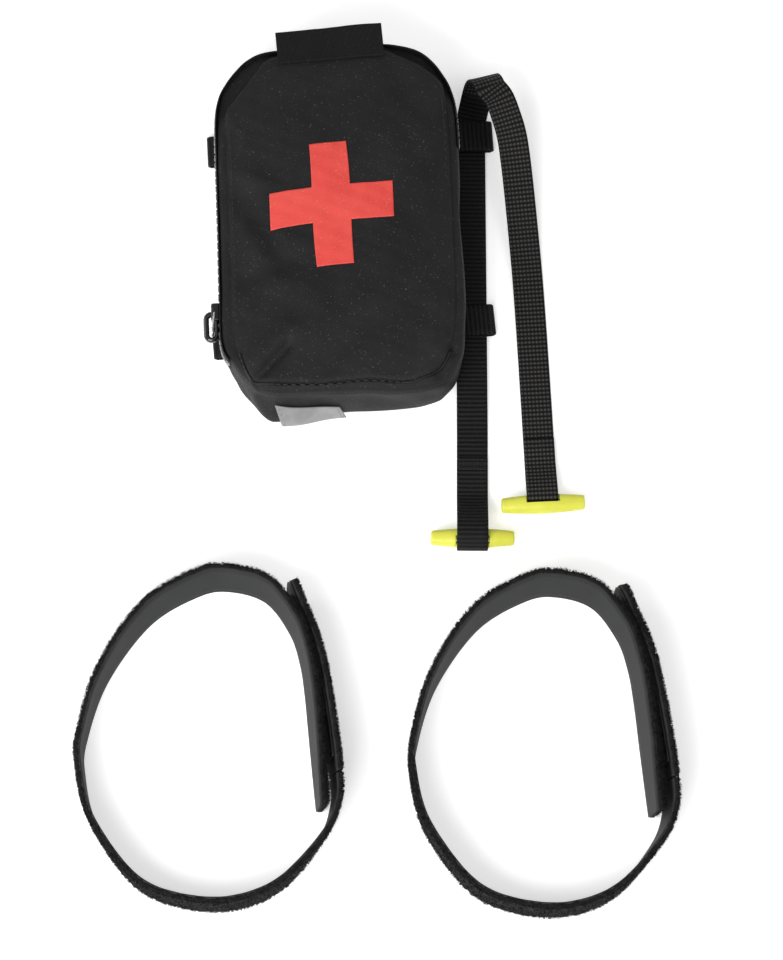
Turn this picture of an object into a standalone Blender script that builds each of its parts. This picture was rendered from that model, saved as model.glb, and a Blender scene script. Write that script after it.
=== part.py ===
"""First-aid pouch kit: a zipped pouch on its back, a toggle strap through its side loops,
and two hook-and-loop bands standing on edge in front of it.

Metres, +Z up, the table is z = 0 and the origin is under the middle of the laid-out kit.
"""

import math

import bmesh
import bpy
import numpy as np

# ---------------------------------------------------------------- driving dimensions
GAP = 0.0003  # between touching pieces
CLOTH = 0.0012  # coated nylon with its seam allowance
WEBBING = 0.0013  # webbing thickness

# Pouch, in its own frame: middle of the back on the table, +Y towards the label.
POUCH_PLACE = (-0.0184, 0.1155)
POUCH_YAW = math.radians(2.5)
POUCH_HALF_WIDTH = 0.0585
POUCH_HALF_LENGTH = 0.0905
TOP_CORNER = (0.027, 0.038)  # corner radii across and along
BOTTOM_CORNER = (0.018, 0.025)
POUCH_BACK = 0.0016  # underside of the back panel
POUCH_FRONT = 0.0415  # face of the front panel
BACK_TAPER = 0.0060  # how far the walls draw in at the back
FRONT_TAPER = 0.0035  # and at the front
BELLY_LOW, BELLY_HIGH = 0.013, 0.0345  # the walls are widest between these heights
SIDE_MARKS = (POUCH_BACK, BELLY_LOW, BELLY_HIGH, POUCH_FRONT)

# Zip: runs up the left wall, over the top and part of the way down the right wall.
ZIP_HEIGHT = 0.029
COIL_SIZE = 0.002
COIL_GAP = 0.001
TAPE_HEIGHT = 0.003
TAPE = 0.0006
ZIP_LEFT_END = -0.0640
ZIP_RIGHT_END = 0.0385
STOP_LENGTH = 0.002
SLIDER_AT = -0.0433
SLIDER_LENGTH = 0.009
SLIDER_HEIGHT = 0.0078
SLIDER_PLATE = 0.0009
SLIDER_WEDGE = 0.0004
CROWN_AT = 0.0015  # along the slider from its middle
CROWN_SPAN, CROWN_RISE, CROWN_WIDTH, CROWN_BAR = 0.0052, 0.0030, 0.0020, 0.0010
WIRE = 0.0008  # puller wire
LINK_HEIGHT = 0.0056
GRIP_LENGTH, GRIP_WIDTH, GRIP_BAR = 0.0145, 0.0060, 0.0018

# The front panel folds along the line between these two edge points (pouch frame).
FOLD_LOW = (-0.0512, -0.0778)
FOLD_HIGH = (0.0581, 0.0124)

# Printed cross, label and reflective tab (pouch frame).
CROSS_AT = (-0.0034, 0.0068)
CROSS_SPAN = (0.0600, 0.0640)
CROSS_ARM = 0.0187
CROSS_YAW = math.radians(2.2)
PRINT = 0.0004
LABEL_SIZE = (0.0520, 0.0165)
LABEL_AT = (-0.0006, 0.0925)
LABEL_YAW = math.radians(3.0)
LABEL = 0.0010
TAB_SIZE = (0.0310, 0.0065)
TAB_AT = (-0.0122, -0.0885)
TAB_YAW = math.radians(3.5)

# Two straps across the back; each ends in a stub on the left and a loop on the right.
BACK_STRAP_WIDTH = 0.0155
BACK_STRAPS = {"upper": (0.0539, 0.017), "lower": (-0.0459, 0.049)}  # middle and rise to the right
STUB_REACH = 0.0052
LOOP_RISE = 0.0036  # between the two runs of a loop, middle to middle
LOOP_SLACK = 0.0012  # beside the toggle strap

# Toggle strap, in the kit frame.
STRAP_WIDTH = 0.0150
STRAP_ON_TABLE = 0.0007
STRAP_IN_LOOPS = 0.0025
TOGGLE_LEFT = (0.0457, -0.0360)
STRAP_LEFT_X = 0.0461
STRAP_RISES = (0.0201, 0.0451)  # climbs from the table into the loops between these
ARCH_START = 0.1906
ARCH_RADIUS = 0.0095
ARCH_LEAD = math.radians(14)  # the arch winds round like a coarse thread
ARCH_SHIFT = 0.0042  # how far the arch stands to the right of the leg below it
ARCH_SHIFT_FROM, ARCH_SHIFT_TO = 0.1758, 0.2038
STRAP_RIGHT = [
    (0.0599, 0.1851, 0.0210),
    (0.0653, 0.1729, 0.0175),
    (0.0685, 0.1552, 0.0120),
    (0.0725, 0.1158, 0.0030),
    (0.0747, 0.0851, 0.0007),
    (0.0772, 0.0354, 0.0007),
]
TOGGLE_RIGHT = (0.0797, -0.0189)
DOUBLED = {"left": 0.041, "right": 0.034}  # length of the sewn-back ends

# Toggle: a barrel with a window, and a round bar across the window.
TOGGLE_LENGTH = 0.0400
TOGGLE_RADIUS = 0.0047
TOGGLE_END_RADIUS = 0.0034
TOGGLE_BAR = 0.0015
WINDOW_SLACK = 0.0006
LEFT_SETTLE = 0.024  # run over which the left end comes down to the table
RIGHT_SETTLE = (0.014, 0.020)  # the same for the right end's lower and upper layer

# Hook-and-loop bands.
BAND_WIDTH = 0.024
BAND = 0.0030  # thickness with its pile
HOOKS = 0.0008
BAND_LEAN = 0.0045  # how far the top edge stands outside the bottom edge
BAND_PLACES = {"band_1": (-0.0783, -0.1381), "band_2": (0.0771, -0.1407)}
BAND_RUN = [
    (0.0513, -0.0303),
    (0.0502, -0.0204),
    (0.0479, 0.0021),
    (0.0456, 0.0250),
    (0.0432, 0.0407),
    (0.0381, 0.0561),
    (0.0260, 0.0722),
    (0.0081, 0.0779),
    (-0.0075, 0.0753),
    (-0.0305, 0.0608),
    (-0.0503, 0.0324),
    (-0.0595, 0.0036),
    (-0.0600, -0.0126),
    (-0.0535, -0.0372),
    (-0.0334, -0.0646),
    (-0.0121, -0.0745),
    (0.0124, -0.0756),
    (0.0342, -0.0659),
    (0.0527, -0.0430),
    (0.0580, -0.0270),
    (0.0576, -0.0160),
    (0.0562, -0.0050),
    (0.0535, 0.0120),
    (0.0499, 0.0344),
    (0.0458, 0.0501),
    (0.0404, 0.0638),
    (0.0371, 0.0752),
]
TAB_START = (0.0576, -0.0160)
BAND_STEPS = 124
BAND_TIP_RADIUS = 0.009
BAND_LEAN_SPREAD = 0.15
HOOKS_FROM, HOOKS_TO = 4, 22  # stretch of the tab that carries the hooks, in its steps
HOOK_MARGIN = 0.0015

BLACK = (0.012, 0.012, 0.013)
YELLOW = (0.72, 0.70, 0.06)
RED = (0.80, 0.09, 0.07)
GREY = (0.42, 0.42, 0.42)


# ---------------------------------------------------------------- making solids
def material(name, colour, roughness, metallic=0.0):
    found = bpy.data.materials.get(name)
    if found:
        return found
    made = bpy.data.materials.new(name)
    made.use_nodes = True
    shader = made.node_tree.nodes["Principled BSDF"]
    shader.inputs["Base Color"].default_value = (*colour, 1)
    shader.inputs["Roughness"].default_value = roughness
    shader.inputs["Metallic"].default_value = metallic
    return made


def finish(name, bm, look, parent=None):
    """Turns a bmesh into a named object under its parent."""
    bmesh.ops.recalc_face_normals(bm, faces=bm.faces)
    mesh = bpy.data.meshes.new(name)
    bm.to_mesh(mesh)
    bm.free()
    mesh.materials.append(look)
    made = bpy.data.objects.new(name, mesh)
    bpy.context.scene.collection.objects.link(made)
    made.parent = parent
    return made


def empty(name, place, yaw=0.0, parent=None):
    made = bpy.data.objects.new(name, None)
    bpy.context.scene.collection.objects.link(made)
    made.location = place
    made.rotation_euler = (0, 0, yaw)
    made.parent = parent
    return made


def hang(name, place, parts, parent=None):
    """Puts parts under an empty on their joint's axis, leaving them where they are."""
    axis = empty(name, place, 0, parent)
    for part in parts:
        part.parent = axis
        part.location = [-c for c in place]


def loft(name, rings, look, parent=None, closed=False):
    """A solid through matching rings of corners, with flat ends unless it closes on itself."""
    rings = np.asarray(rings, float)
    count, corners = rings.shape[:2]
    bm = bmesh.new()
    made = [[bm.verts.new(point) for point in ring] for ring in rings]
    for k in range(count if closed else count - 1):
        here, there = made[k], made[(k + 1) % count]
        for c in range(corners):
            d = (c + 1) % corners
            bm.faces.new((here[c], here[d], there[d], there[c]))
    if not closed:
        bm.faces.new(made[0])
        bm.faces.new(made[-1])
    return finish(name, bm, look, parent)


def plate(name, outline, low, high, look, parent=None):
    """A flat piece of an outline, between two heights."""
    flat = np.asarray(outline, float)
    rings = [np.column_stack([flat, np.full(len(flat), z)]) for z in (low, high)]
    return loft(name, rings, look, parent)


def unit(vectors):
    return vectors / np.linalg.norm(vectors, axis=-1, keepdims=True)


def ribbon(name, middle, across, width, thickness, look, parent=None):
    """A flat strip carried along a path; across gives the direction of its width."""
    middle, across = np.asarray(middle, float), unit(np.asarray(across, float))
    along = unit(np.gradient(middle, axis=0))
    face = unit(np.cross(across, along))
    half_w, half_t = across * width / 2, face * thickness / 2
    corners = (-half_w - half_t, half_w - half_t, half_w + half_t, half_w * -1 + half_t)
    return loft(name, np.stack([middle + c for c in corners], axis=1), look, parent)


def smooth(points, count):
    """A Catmull-Rom curve through the points, read at even steps of its length."""
    p = np.asarray(points, float)
    p = np.vstack([2 * p[0] - p[1], p, 2 * p[-1] - p[-2]])
    u = np.linspace(0, 1, 40, endpoint=False)[:, None]
    runs = [
        0.5 * ((2 * b) + (c - a) * u + (2 * a - 5 * b + 4 * c - d) * u**2 + (3 * b - a - 3 * c + d) * u**3)
        for a, b, c, d in zip(p, p[1:], p[2:], p[3:])
    ]
    fine = np.vstack([*runs, p[-2]])
    return even(fine, count)


def even(path, count):
    """The same path with its points at even steps of its length."""
    steps = np.linalg.norm(np.diff(path, axis=0), axis=1)
    length = np.concatenate([[0], np.cumsum(steps)])
    at = np.linspace(0, length[-1], count)
    return np.column_stack([np.interp(at, length, path[:, k]) for k in range(path.shape[1])])


def box(name, low, high, look, parent=None):
    corners = [(low[0], low[1]), (high[0], low[1]), (high[0], high[1]), (low[0], high[1])]
    return plate(name, corners, low[2], high[2], look, parent)


def cut(target, cutter, operation="DIFFERENCE"):
    """A Boolean that keeps its other object out of the model."""
    cutter.hide_render = True
    cutter.display_type = "WIRE"
    change = target.modifiers.new(operation.lower(), "BOOLEAN")
    change.operation = operation
    change.object = cutter


# ---------------------------------------------------------------- pouch
def corner(middle, radii, start, steps=9):
    """Points and outward directions along a quarter of an ellipse, clockwise from start."""
    angle = np.radians(start - np.linspace(0, 90, steps))
    ring = np.column_stack([np.cos(angle), np.sin(angle)])
    return np.asarray(middle) + ring * radii, unit(ring / np.asarray(radii))


def edge_run(which, trim=0.0):
    """The pouch's edge, clockwise, as points and outward directions.

    It is the zipped run, with both ends trimmed by a length, or the plain run.
    """
    w, h = POUCH_HALF_WIDTH, POUCH_HALF_LENGTH
    (tx, ty), (bx, by) = TOP_CORNER, BOTTOM_CORNER
    left, right = np.array([[-1.0, 0.0]]), np.array([[1.0, 0.0]])
    if which == "zipped":
        parts = [
            (np.array([[-w, ZIP_LEFT_END + trim]]), left),
            corner((-w + tx, h - ty), (tx, ty), 180),
            corner((w - tx, h - ty), (tx, ty), 90),
            (np.array([[w, ZIP_RIGHT_END + trim]]), right),
        ]
    else:
        parts = [
            (np.array([[w, ZIP_RIGHT_END - GAP]]), right),
            corner((w - bx, -h + by), (bx, by), 0),
            corner((-w + bx, -h + by), (bx, by), -90),
            (np.array([[-w, ZIP_LEFT_END - GAP]]), left),
        ]
    return np.vstack([p for p, _ in parts]), np.vstack([n for _, n in parts])


def drawn_in(height):
    """How far the pouch's side stands inside its widest edge at a height."""
    return np.interp(height, SIDE_MARKS, (BACK_TAPER, 0, 0, FRONT_TAPER))


def wall(name, which, low, high, thickness, look, parent, proud=0.0, trim=0.0):
    """A wall along the pouch's edge, which follows the taper of the sides."""
    levels = [low, *[m for m in SIDE_MARKS if low < m < high], high]
    draw = drawn_in(levels)
    points, out = edge_run(which, trim)
    rings = []
    for point, normal in zip(points, out):
        outer = [(*(point - normal * (d - proud)), z) for d, z in zip(draw, levels)]
        inner = [(*(point - normal * (d + thickness)), z) for d, z in zip(draw, levels)]
        rings.append(outer + inner[::-1])
    return loft(name, rings, look, parent)


def panel_outline(draw):
    """The closed outline of the front or the back panel, drawn in from the widest edge."""
    runs = [edge_run(which) for which in ("zipped", "plain")]
    return np.vstack([points - out * draw for points, out in runs])


def beside_fold(outline, side):
    """The part of an outline on one side of the fold line: 1 is the lid, -1 stays."""
    low, high = np.array(FOLD_LOW), np.array(FOLD_HIGH)
    along = unit(high - low)
    normal = side * np.array([-along[1], along[0]])
    reach = (outline - low) @ normal - GAP / 2
    kept = []
    for k in range(len(outline)):
        a, b, here, there = outline[k - 1], outline[k], reach[k - 1], reach[k]
        if here * there < 0:
            kept.append(a + (b - a) * here / (here - there))
        if there > 0:
            kept.append(b)
    return np.array(kept)


def cross_outline():
    """A cross of equal arms, turned with the front panel's print."""
    (x, y), a = np.array(CROSS_SPAN) / 2, CROSS_ARM / 2
    points = [(a, y), (a, a), (x, a), (x, -a), (a, -a), (a, -y)]
    points = np.array(points + [(-px, -py) for px, py in points])
    c, s = math.cos(CROSS_YAW), math.sin(CROSS_YAW)
    return np.array(CROSS_AT) + points @ np.array([[c, s], [-s, c]])


def turned_box(name, middle, size, low, high, yaw, look, parent):
    x, y = size[0] / 2, size[1] / 2
    c, s = math.cos(yaw), math.sin(yaw)
    flat = np.array([(-x, -y), (x, -y), (x, y), (-x, y)]) @ np.array([[c, s], [-s, c]])
    return plate(name, flat + np.array(middle), low, high, look, parent)


def back_strap(name, at, slope, look, parent):
    """A strap flat across the back that turns up into a stub on the left and a loop on the right."""
    low, rise = WEBBING / 2, LOOP_RISE
    side = POUCH_HALF_WIDTH - drawn_in(low + rise + WEBBING / 2) + GAP * 2
    turn_left = -POUCH_HALF_WIDTH - STUB_REACH + rise / 2
    strap_edge = STRAP_LEFT_X + STRAP_WIDTH / 2 - POUCH_PLACE[0]
    far_along = at + slope * strap_edge + BACK_STRAP_WIDTH / 2
    turn_right = strap_edge / math.cos(POUCH_YAW) + far_along * math.tan(POUCH_YAW) + LOOP_SLACK
    angle = np.radians(np.linspace(0, 180, 7))
    left = [(turn_left - rise / 2 * math.sin(a), low + rise / 2 * (1 + math.cos(a))) for a in angle]
    right = [(turn_right + rise / 2 * math.sin(a), low + rise / 2 * (1 - math.cos(a))) for a in angle]
    run = [(-side, low + rise), *left, *right, (side, low + rise)]
    middle = np.array([(x, at + slope * x, z) for x, z in run])
    across = np.tile((slope, -1.0, 0), (len(run), 1))
    return ribbon(name, middle, across, BACK_STRAP_WIDTH, WEBBING, look, parent)


def zip_slider(parent):
    """Two plates joined by a wedge, astride the coils, with a crown outside for the puller."""
    look = material("slider", BLACK, 0.25)
    middle = -POUCH_HALF_WIDTH + CLOTH / 2
    clear = COIL_SIZE / 2 + GAP
    y0, y1 = SLIDER_AT - SLIDER_LENGTH / 2, SLIDER_AT + SLIDER_LENGTH / 2
    z0, z1 = ZIP_HEIGHT - SLIDER_HEIGHT / 2, ZIP_HEIGHT + SLIDER_HEIGHT / 2
    face = middle - clear - SLIDER_PLATE
    far = middle + clear + SLIDER_PLATE
    half = SLIDER_WEDGE / 2
    section = [
        (face, z0), (middle - clear, z0), (middle - clear, ZIP_HEIGHT - half),
        (middle + clear, ZIP_HEIGHT - half), (middle + clear, z0), (far, z0),
        (far, z1), (middle + clear, z1), (middle + clear, ZIP_HEIGHT + half),
        (middle - clear, ZIP_HEIGHT + half), (middle - clear, z1), (face, z1),
    ]
    rings = [[(x, y, z) for x, z in section] for y in (y0, y1)]
    body = loft("zip_slider", rings, look, parent)
    crown_y = SLIDER_AT + CROWN_AT
    sunk = face + SLIDER_PLATE / 2
    s, r, b = CROWN_SPAN / 2, CROWN_RISE, CROWN_BAR
    arch = [
        (sunk, -s), (face - r + b, -s), (face - r, -s + b), (face - r, s - b), (face - r + b, s),
        (sunk, s), (sunk, s - b), (face - r + b, s - b), (face - r + b, -s + b), (sunk, -s + b),
    ]
    zs = (ZIP_HEIGHT - CROWN_WIDTH / 2, ZIP_HEIGHT + CROWN_WIDTH / 2)
    crown = loft("slider_crown", [[(x, crown_y + y, z) for x, y in arch] for z in zs], look, parent)
    cut(body, crown, "UNION")
    hang("slider_axis", (face, SLIDER_AT, ZIP_HEIGHT), [body, crown], parent)
    return face, crown_y


def bar_loop(name, path, radius, look, parent):
    """A closed round bar along a flat ring of points."""
    path = np.asarray(path, float)
    along = unit(np.roll(path, -1, axis=0) - np.roll(path, 1, axis=0))
    normal = unit(np.cross(path[1] - path[0], path[len(path) // 3] - path[0]))
    side = np.cross(along, normal)
    turn = np.linspace(0, 2 * math.pi, 8, endpoint=False)
    rings = [path + radius * (math.cos(t) * side + math.sin(t) * normal) for t in turn]
    return loft(name, np.stack(rings, axis=1), look, parent, closed=True)


def stadium(length, width, steps=6):
    """A ring of points with straight sides and round ends, along +X and centred."""
    r = width / 2
    turn = np.radians(np.linspace(-90, 90, steps))
    end = np.column_stack([length / 2 - r + r * np.cos(turn), r * np.sin(turn)])
    return np.vstack([end, -end])


def puller(parent, face, pin_y):
    """A wire link through the crown, leaning outwards, and a grip ring round the link's outer end."""
    pin = face - CROWN_RISE + CROWN_BAR + WIRE / 2 + GAP
    ring_x = face - GAP - GRIP_WIDTH / 2
    ring_top = pin_y - CROWN_SPAN / 2 - GAP
    inner, outer = pin_y + WIRE, ring_top - GRIP_BAR - GAP - WIRE
    length = inner - outer
    lean = pin - ring_x - WIRE / 2
    link = stadium(length - WIRE, LINK_HEIGHT, 7)
    path = [
        (pin - lean * (0.5 - a / (length - WIRE)), (inner + outer) / 2 + a, ZIP_HEIGHT + b)
        for a, b in link
    ]
    steel = material("wire", (0.5, 0.5, 0.52), 0.3, 1.0)
    wire = bar_loop("puller_link", path, WIRE / 2, steel, parent)
    ring = stadium(GRIP_LENGTH - GRIP_BAR, GRIP_WIDTH - GRIP_BAR, 7)
    path = [(ring_x + b, ring_top - GRIP_LENGTH / 2 + a, ZIP_HEIGHT) for a, b in ring]
    grip = bar_loop("puller_grip", path, GRIP_BAR / 2, material("grip", BLACK, 0.3), parent)
    hang("puller_axis", (pin, inner - WIRE / 2, ZIP_HEIGHT), [wire, grip], parent)


def stop(name, end, side, look, parent):
    """The moulded block that closes one end of the zip."""
    x = side * (POUCH_HALF_WIDTH - CLOTH / 2)
    y = end + STOP_LENGTH / 2
    size = (COIL_SIZE, STOP_LENGTH)
    half = COIL_SIZE + COIL_GAP / 2
    return turned_box(name, (x, y), size, ZIP_HEIGHT - half, ZIP_HEIGHT + half, 0, look, parent)


def build_pouch(root):
    cloth = material("coated_nylon", BLACK, 0.65)
    webbing = material("webbing", BLACK, 0.75)
    zip_look = material("zip", BLACK, 0.35)
    half = COIL_GAP / 2
    coil_low, coil_high = ZIP_HEIGHT - half - COIL_SIZE, ZIP_HEIGHT + half + COIL_SIZE
    tape_low, tape_high = coil_low - GAP - TAPE_HEIGHT, coil_high + GAP + TAPE_HEIGHT
    panel_low = POUCH_FRONT - CLOTH
    wall_low = POUCH_BACK + CLOTH + GAP

    plate("back_panel", panel_outline(BACK_TAPER), POUCH_BACK, POUCH_BACK + CLOTH, cloth, root)
    wall("back_gusset", "zipped", wall_low, tape_low - GAP, CLOTH, cloth, root)
    wall("plain_gusset", "plain", wall_low, panel_low - GAP, CLOTH, cloth, root)
    wall("zip_tape_back", "zipped", tape_low, coil_low - GAP, TAPE, cloth, root, -(CLOTH - TAPE) / 2)
    sunk = (COIL_SIZE - CLOTH) / 2
    coil_wall = COIL_SIZE - sunk
    trim = STOP_LENGTH + GAP
    wall("zip_coil_back", "zipped", coil_low, ZIP_HEIGHT - half, coil_wall, zip_look, root, sunk, trim)
    front = panel_outline(FRONT_TAPER)
    plate("front_panel_fixed", beside_fold(front, -1), panel_low, POUCH_FRONT, cloth, root)
    for name, (at, slope) in BACK_STRAPS.items():
        back_strap("webbing_" + name, at, slope, webbing, root)
    tab_top = POUCH_BACK - GAP
    grey = material("reflective", GREY, 0.4)
    turned_box("reflective_tab", TAB_AT, TAB_SIZE, tab_top - CLOTH + GAP, tab_top, TAB_YAW, grey, root)

    top = POUCH_FRONT + GAP
    lid = [
        wall("zip_coil_front", "zipped", ZIP_HEIGHT + half, coil_high, coil_wall, zip_look, root, sunk, trim),
        wall("zip_tape_front", "zipped", coil_high + GAP, tape_high, TAPE, cloth, root, -(CLOTH - TAPE) / 2),
        wall("front_gusset", "zipped", tape_high + GAP, panel_low - GAP, CLOTH, cloth, root),
        plate("front_panel", beside_fold(front, 1), panel_low, POUCH_FRONT, cloth, root),
        plate("red_cross", cross_outline(), top, top + PRINT, material("print", RED, 0.6), root),
        turned_box("label", LABEL_AT, LABEL_SIZE, top, top + LABEL, LABEL_YAW, webbing, root),
    ]
    hang("lid_axis", (*FOLD_LOW, POUCH_FRONT), lid, root)
    stop("zip_stop_lower", ZIP_LEFT_END, -1, zip_look, root)
    stop("zip_stop_upper", ZIP_RIGHT_END, 1, zip_look, root)
    puller(root, *zip_slider(root))


# ---------------------------------------------------------------- toggle strap
def turtle(start, heading, moves, step=0.0006):
    """A flat path of straight runs (length,) and bends (radius, degrees; left is positive)."""
    points, at, turn = [np.array(start)], np.array(start, float), math.radians(heading)
    for move in moves:
        if len(move) == 1:
            at = at + move[0] * np.array([math.cos(turn), math.sin(turn)])
            points.append(at)
            continue
        radius, bend = move[0], math.radians(move[1])
        side = math.copysign(1, bend)
        centre = at + side * radius * np.array([-math.sin(turn), math.cos(turn)])
        count = max(4, int(abs(bend) * radius / step))
        for k in range(1, count + 1):
            a = turn + bend * k / count
            at = centre - side * radius * np.array([-math.sin(a), math.cos(a)])
            points.append(at)
        turn += bend
    return np.array(points)


def ease(start, end, low, high, count):
    """A run that settles from one height to another, flat at both ends."""
    u = np.linspace(0, 1, count)
    return np.column_stack([start + (end - start) * u, high + (low - high) * (3 * u**2 - 2 * u**3)])


def offset(path, distance):
    """The same flat path moved sideways, to the left of its direction."""
    along = unit(np.gradient(path, axis=0))
    return path + distance * np.column_stack([-along[:, 1], along[:, 0]])


EYE = TOGGLE_BAR + GAP + WEBBING / 2  # radius of the webbing round the bar
BAR_AT = TOGGLE_RADIUS - TOGGLE_BAR  # the bar's distance from the barrel's axis
SLOT_FACE = BAR_AT - EYE - WEBBING / 2 - GAP  # and the window's far side
BARREL_HEIGHT = TOGGLE_RADIUS + 0.0001
LAYERS = WEBBING + GAP


def left_profile():
    """The left end as distance from the barrel towards the strap, and height.

    From the sewn tip, the upper layer climbs over the barrel and goes down and round the bar
    beyond it, then up between bar and barrel, back over the barrel and down to the table.
    """
    lip = np.array([-SLOT_FACE, BARREL_HEIGHT + math.sqrt(TOGGLE_RADIUS**2 - SLOT_FACE**2)])
    bar = np.array([-BAR_AT, BARREL_HEIGHT])
    small = GAP + WEBBING / 2
    large = small + LAYERS
    gap = lip - bar
    slope = math.atan2(gap[1], gap[0]) + math.asin((large - EYE) / np.linalg.norm(gap))
    straight = math.sqrt(gap @ gap - (large - EYE) ** 2)
    bend = math.degrees(slope)
    moves = [(large, bend), (straight,), (EYE, 270 - bend), (gap[1],), (small, -90)]
    round_bar = turtle((lip[0], lip[1] + large), 180, moves)
    down = ease(lip[0] + WEBBING, lip[0] + LEFT_SETTLE, STRAP_ON_TABLE, lip[1] + small, 14)
    lower = np.vstack([down, [[DOUBLED["left"], STRAP_ON_TABLE]]])
    return np.vstack([offset(lower, LAYERS)[::-1], round_bar, lower])


def right_profile():
    """The right end in the same terms, from the table round the bar to the sewn tip."""
    under = ease(BAR_AT + GAP, BAR_AT + RIGHT_SETTLE[0], STRAP_ON_TABLE, BARREL_HEIGHT - EYE, 9)
    above = ease(BAR_AT + GAP, BAR_AT + RIGHT_SETTLE[1], STRAP_ON_TABLE + LAYERS, BARREL_HEIGHT + EYE, 11)
    eye = turtle((BAR_AT, BARREL_HEIGHT - EYE), 180, [(EYE, -180)])
    tip = [[DOUBLED["right"], STRAP_ON_TABLE + LAYERS]]
    return np.vstack([[[DOUBLED["right"], STRAP_ON_TABLE]], under[::-1], eye, above, tip])


def arch():
    """The strap turning over on itself: a half turn of a coarse screw round a level axis."""
    lead = ARCH_LEAD
    axis = np.array([math.cos(lead), math.sin(lead), 0])
    ahead = np.array([-math.sin(lead), math.cos(lead), 0])
    up = np.array([0, 0, 1.0])
    start = np.array([STRAP_LEFT_X, ARCH_START, STRAP_IN_LOOPS])
    turn = np.linspace(0, math.pi, 17)[:, None]
    middle = (
        start
        + axis * ARCH_RADIUS * turn * math.tan(lead)
        + ahead * ARCH_RADIUS * np.sin(turn)
        + up * ARCH_RADIUS * (1 - np.cos(turn))
    )
    round_axis = ahead * np.cos(turn) + up * np.sin(turn)
    return middle, axis * math.cos(lead) - round_axis * math.sin(lead)


def level_across(path):
    """The level direction across a path, on its right."""
    along = np.gradient(path, axis=0)
    return unit(np.column_stack([along[:, 1], -along[:, 0], np.zeros(len(path))]))


def strap_ends():
    """For each end: the toggle's place and the level direction from it along the strap."""
    left, right = np.array(TOGGLE_LEFT), np.array(TOGGLE_RIGHT)
    to_left = unit(np.array([STRAP_LEFT_X, STRAP_RISES[0]]) - left)
    to_right = unit(np.array(STRAP_RIGHT[-1][:2]) - right)
    return (left, to_left), (right, to_right)


def toggle_strap():
    """One length of webbing: both doubled ends, the leg through the loops, the arch and the return."""
    (left, to_left), (right, to_right) = strap_ends()
    first, last = left_profile(), right_profile()
    start = np.column_stack([left + first[:, :1] * to_left, first[:, 1]])
    end = np.column_stack([right + last[:, :1] * to_right, last[:, 1]])
    over, over_across = arch()
    rises = [
        start[-1],
        (STRAP_LEFT_X, STRAP_RISES[0], STRAP_ON_TABLE),
        (STRAP_LEFT_X, STRAP_RISES[1], STRAP_IN_LOOPS),
        (STRAP_LEFT_X, (STRAP_RISES[1] + ARCH_START) / 2, STRAP_IN_LOOPS),
        over[0],
    ]
    leg = smooth(rises, 26)[1:-1]
    back = smooth([over[-1], *STRAP_RIGHT, end[0]], 44)[1:-1]
    for run in (leg, back):
        run[:, 2] = np.maximum(run[:, 2], STRAP_ON_TABLE)
    middle = np.vstack([start, leg, over, back, end])
    share = np.clip((middle[:, 1] - ARCH_SHIFT_FROM) / (ARCH_SHIFT_TO - ARCH_SHIFT_FROM), 0, 1)
    middle[:, 0] += ARCH_SHIFT * share**2 * (3 - 2 * share)
    sides = [
        np.tile((to_left[1], -to_left[0], 0), (len(start), 1)),
        level_across(np.vstack([start[-1:], leg, over[:1]]))[1:-1],
        over_across,
        -level_across(np.vstack([over[-1:], back, end[:1]]))[1:-1],
        np.tile((to_right[1], -to_right[0], 0), (len(end), 1)),
    ]
    look = material("webbing", BLACK, 0.75)
    strap = ribbon("strap_webbing", middle, np.vstack(sides), STRAP_WIDTH, WEBBING, look)
    hang("strap_axis", (STRAP_LEFT_X, ARCH_START, STRAP_IN_LOOPS), [strap])


def toggle(name, frame, bar_side):
    """A turned barrel with a window cut from one side, and a round bar left across the window."""
    look = material("toggle", YELLOW, 0.35)
    u = np.linspace(-1, 1, 13)
    radius = TOGGLE_RADIUS - (TOGGLE_RADIUS - TOGGLE_END_RADIUS) * u**2
    rounding = TOGGLE_END_RADIUS / 4
    profile = [(-TOGGLE_LENGTH / 2, radius[0] - rounding)]
    profile += [(x * (TOGGLE_LENGTH / 2 - rounding), r) for x, r in zip(u, radius)]
    profile += [(TOGGLE_LENGTH / 2, radius[0] - rounding)]
    turn = np.linspace(0, 2 * math.pi, 24, endpoint=False)
    bar_y = bar_side * BAR_AT
    rings = [[(x, r * math.cos(t) - bar_y, r * math.sin(t)) for t in turn] for x, r in profile]
    body = loft(name, rings, look, frame)
    half = STRAP_WIDTH / 2 + WINDOW_SLACK
    face, outside = bar_side * (SLOT_FACE - BAR_AT), bar_side * TOGGLE_RADIUS * 2
    low, high = min(face, outside), max(face, outside)
    reach = TOGGLE_RADIUS * 2
    cut(body, box(name + "_window", (-half, low, -reach), (half, high, reach), look, frame))
    turn = turn[::2]
    end = half + TOGGLE_BAR
    bar = [[(x, TOGGLE_BAR * math.cos(t), TOGGLE_BAR * math.sin(t)) for t in turn] for x in (-end, end)]
    cut(body, loft(name + "_bar", bar, look, frame), "UNION")
    return body


def build_toggles():
    ends = zip(("left", "right"), strap_ends(), (-1, 1))
    for side, (place, along), bar_side in ends:
        axis = place + along * bar_side * BAR_AT
        yaw = math.atan2(along[1], along[0]) - math.pi / 2
        frame = empty(f"toggle_{side}_axis", (*axis, BARREL_HEIGHT), yaw)
        toggle("toggle_" + side, frame, bar_side)


# ---------------------------------------------------------------- bands
def leaning(points, share):
    """Where the bottom edge's points go at a share of the band's height.

    The top edge stands outwards of the bottom edge at the far side and on the right.
    """
    weight = np.clip(0.5 + (points[:, :1] + points[:, 1:]) / BAND_LEAN_SPREAD, 0, 1)
    weight = weight**2 * (3 - 2 * weight)
    return points + unit(points) * BAND_LEAN * weight * share


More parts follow.
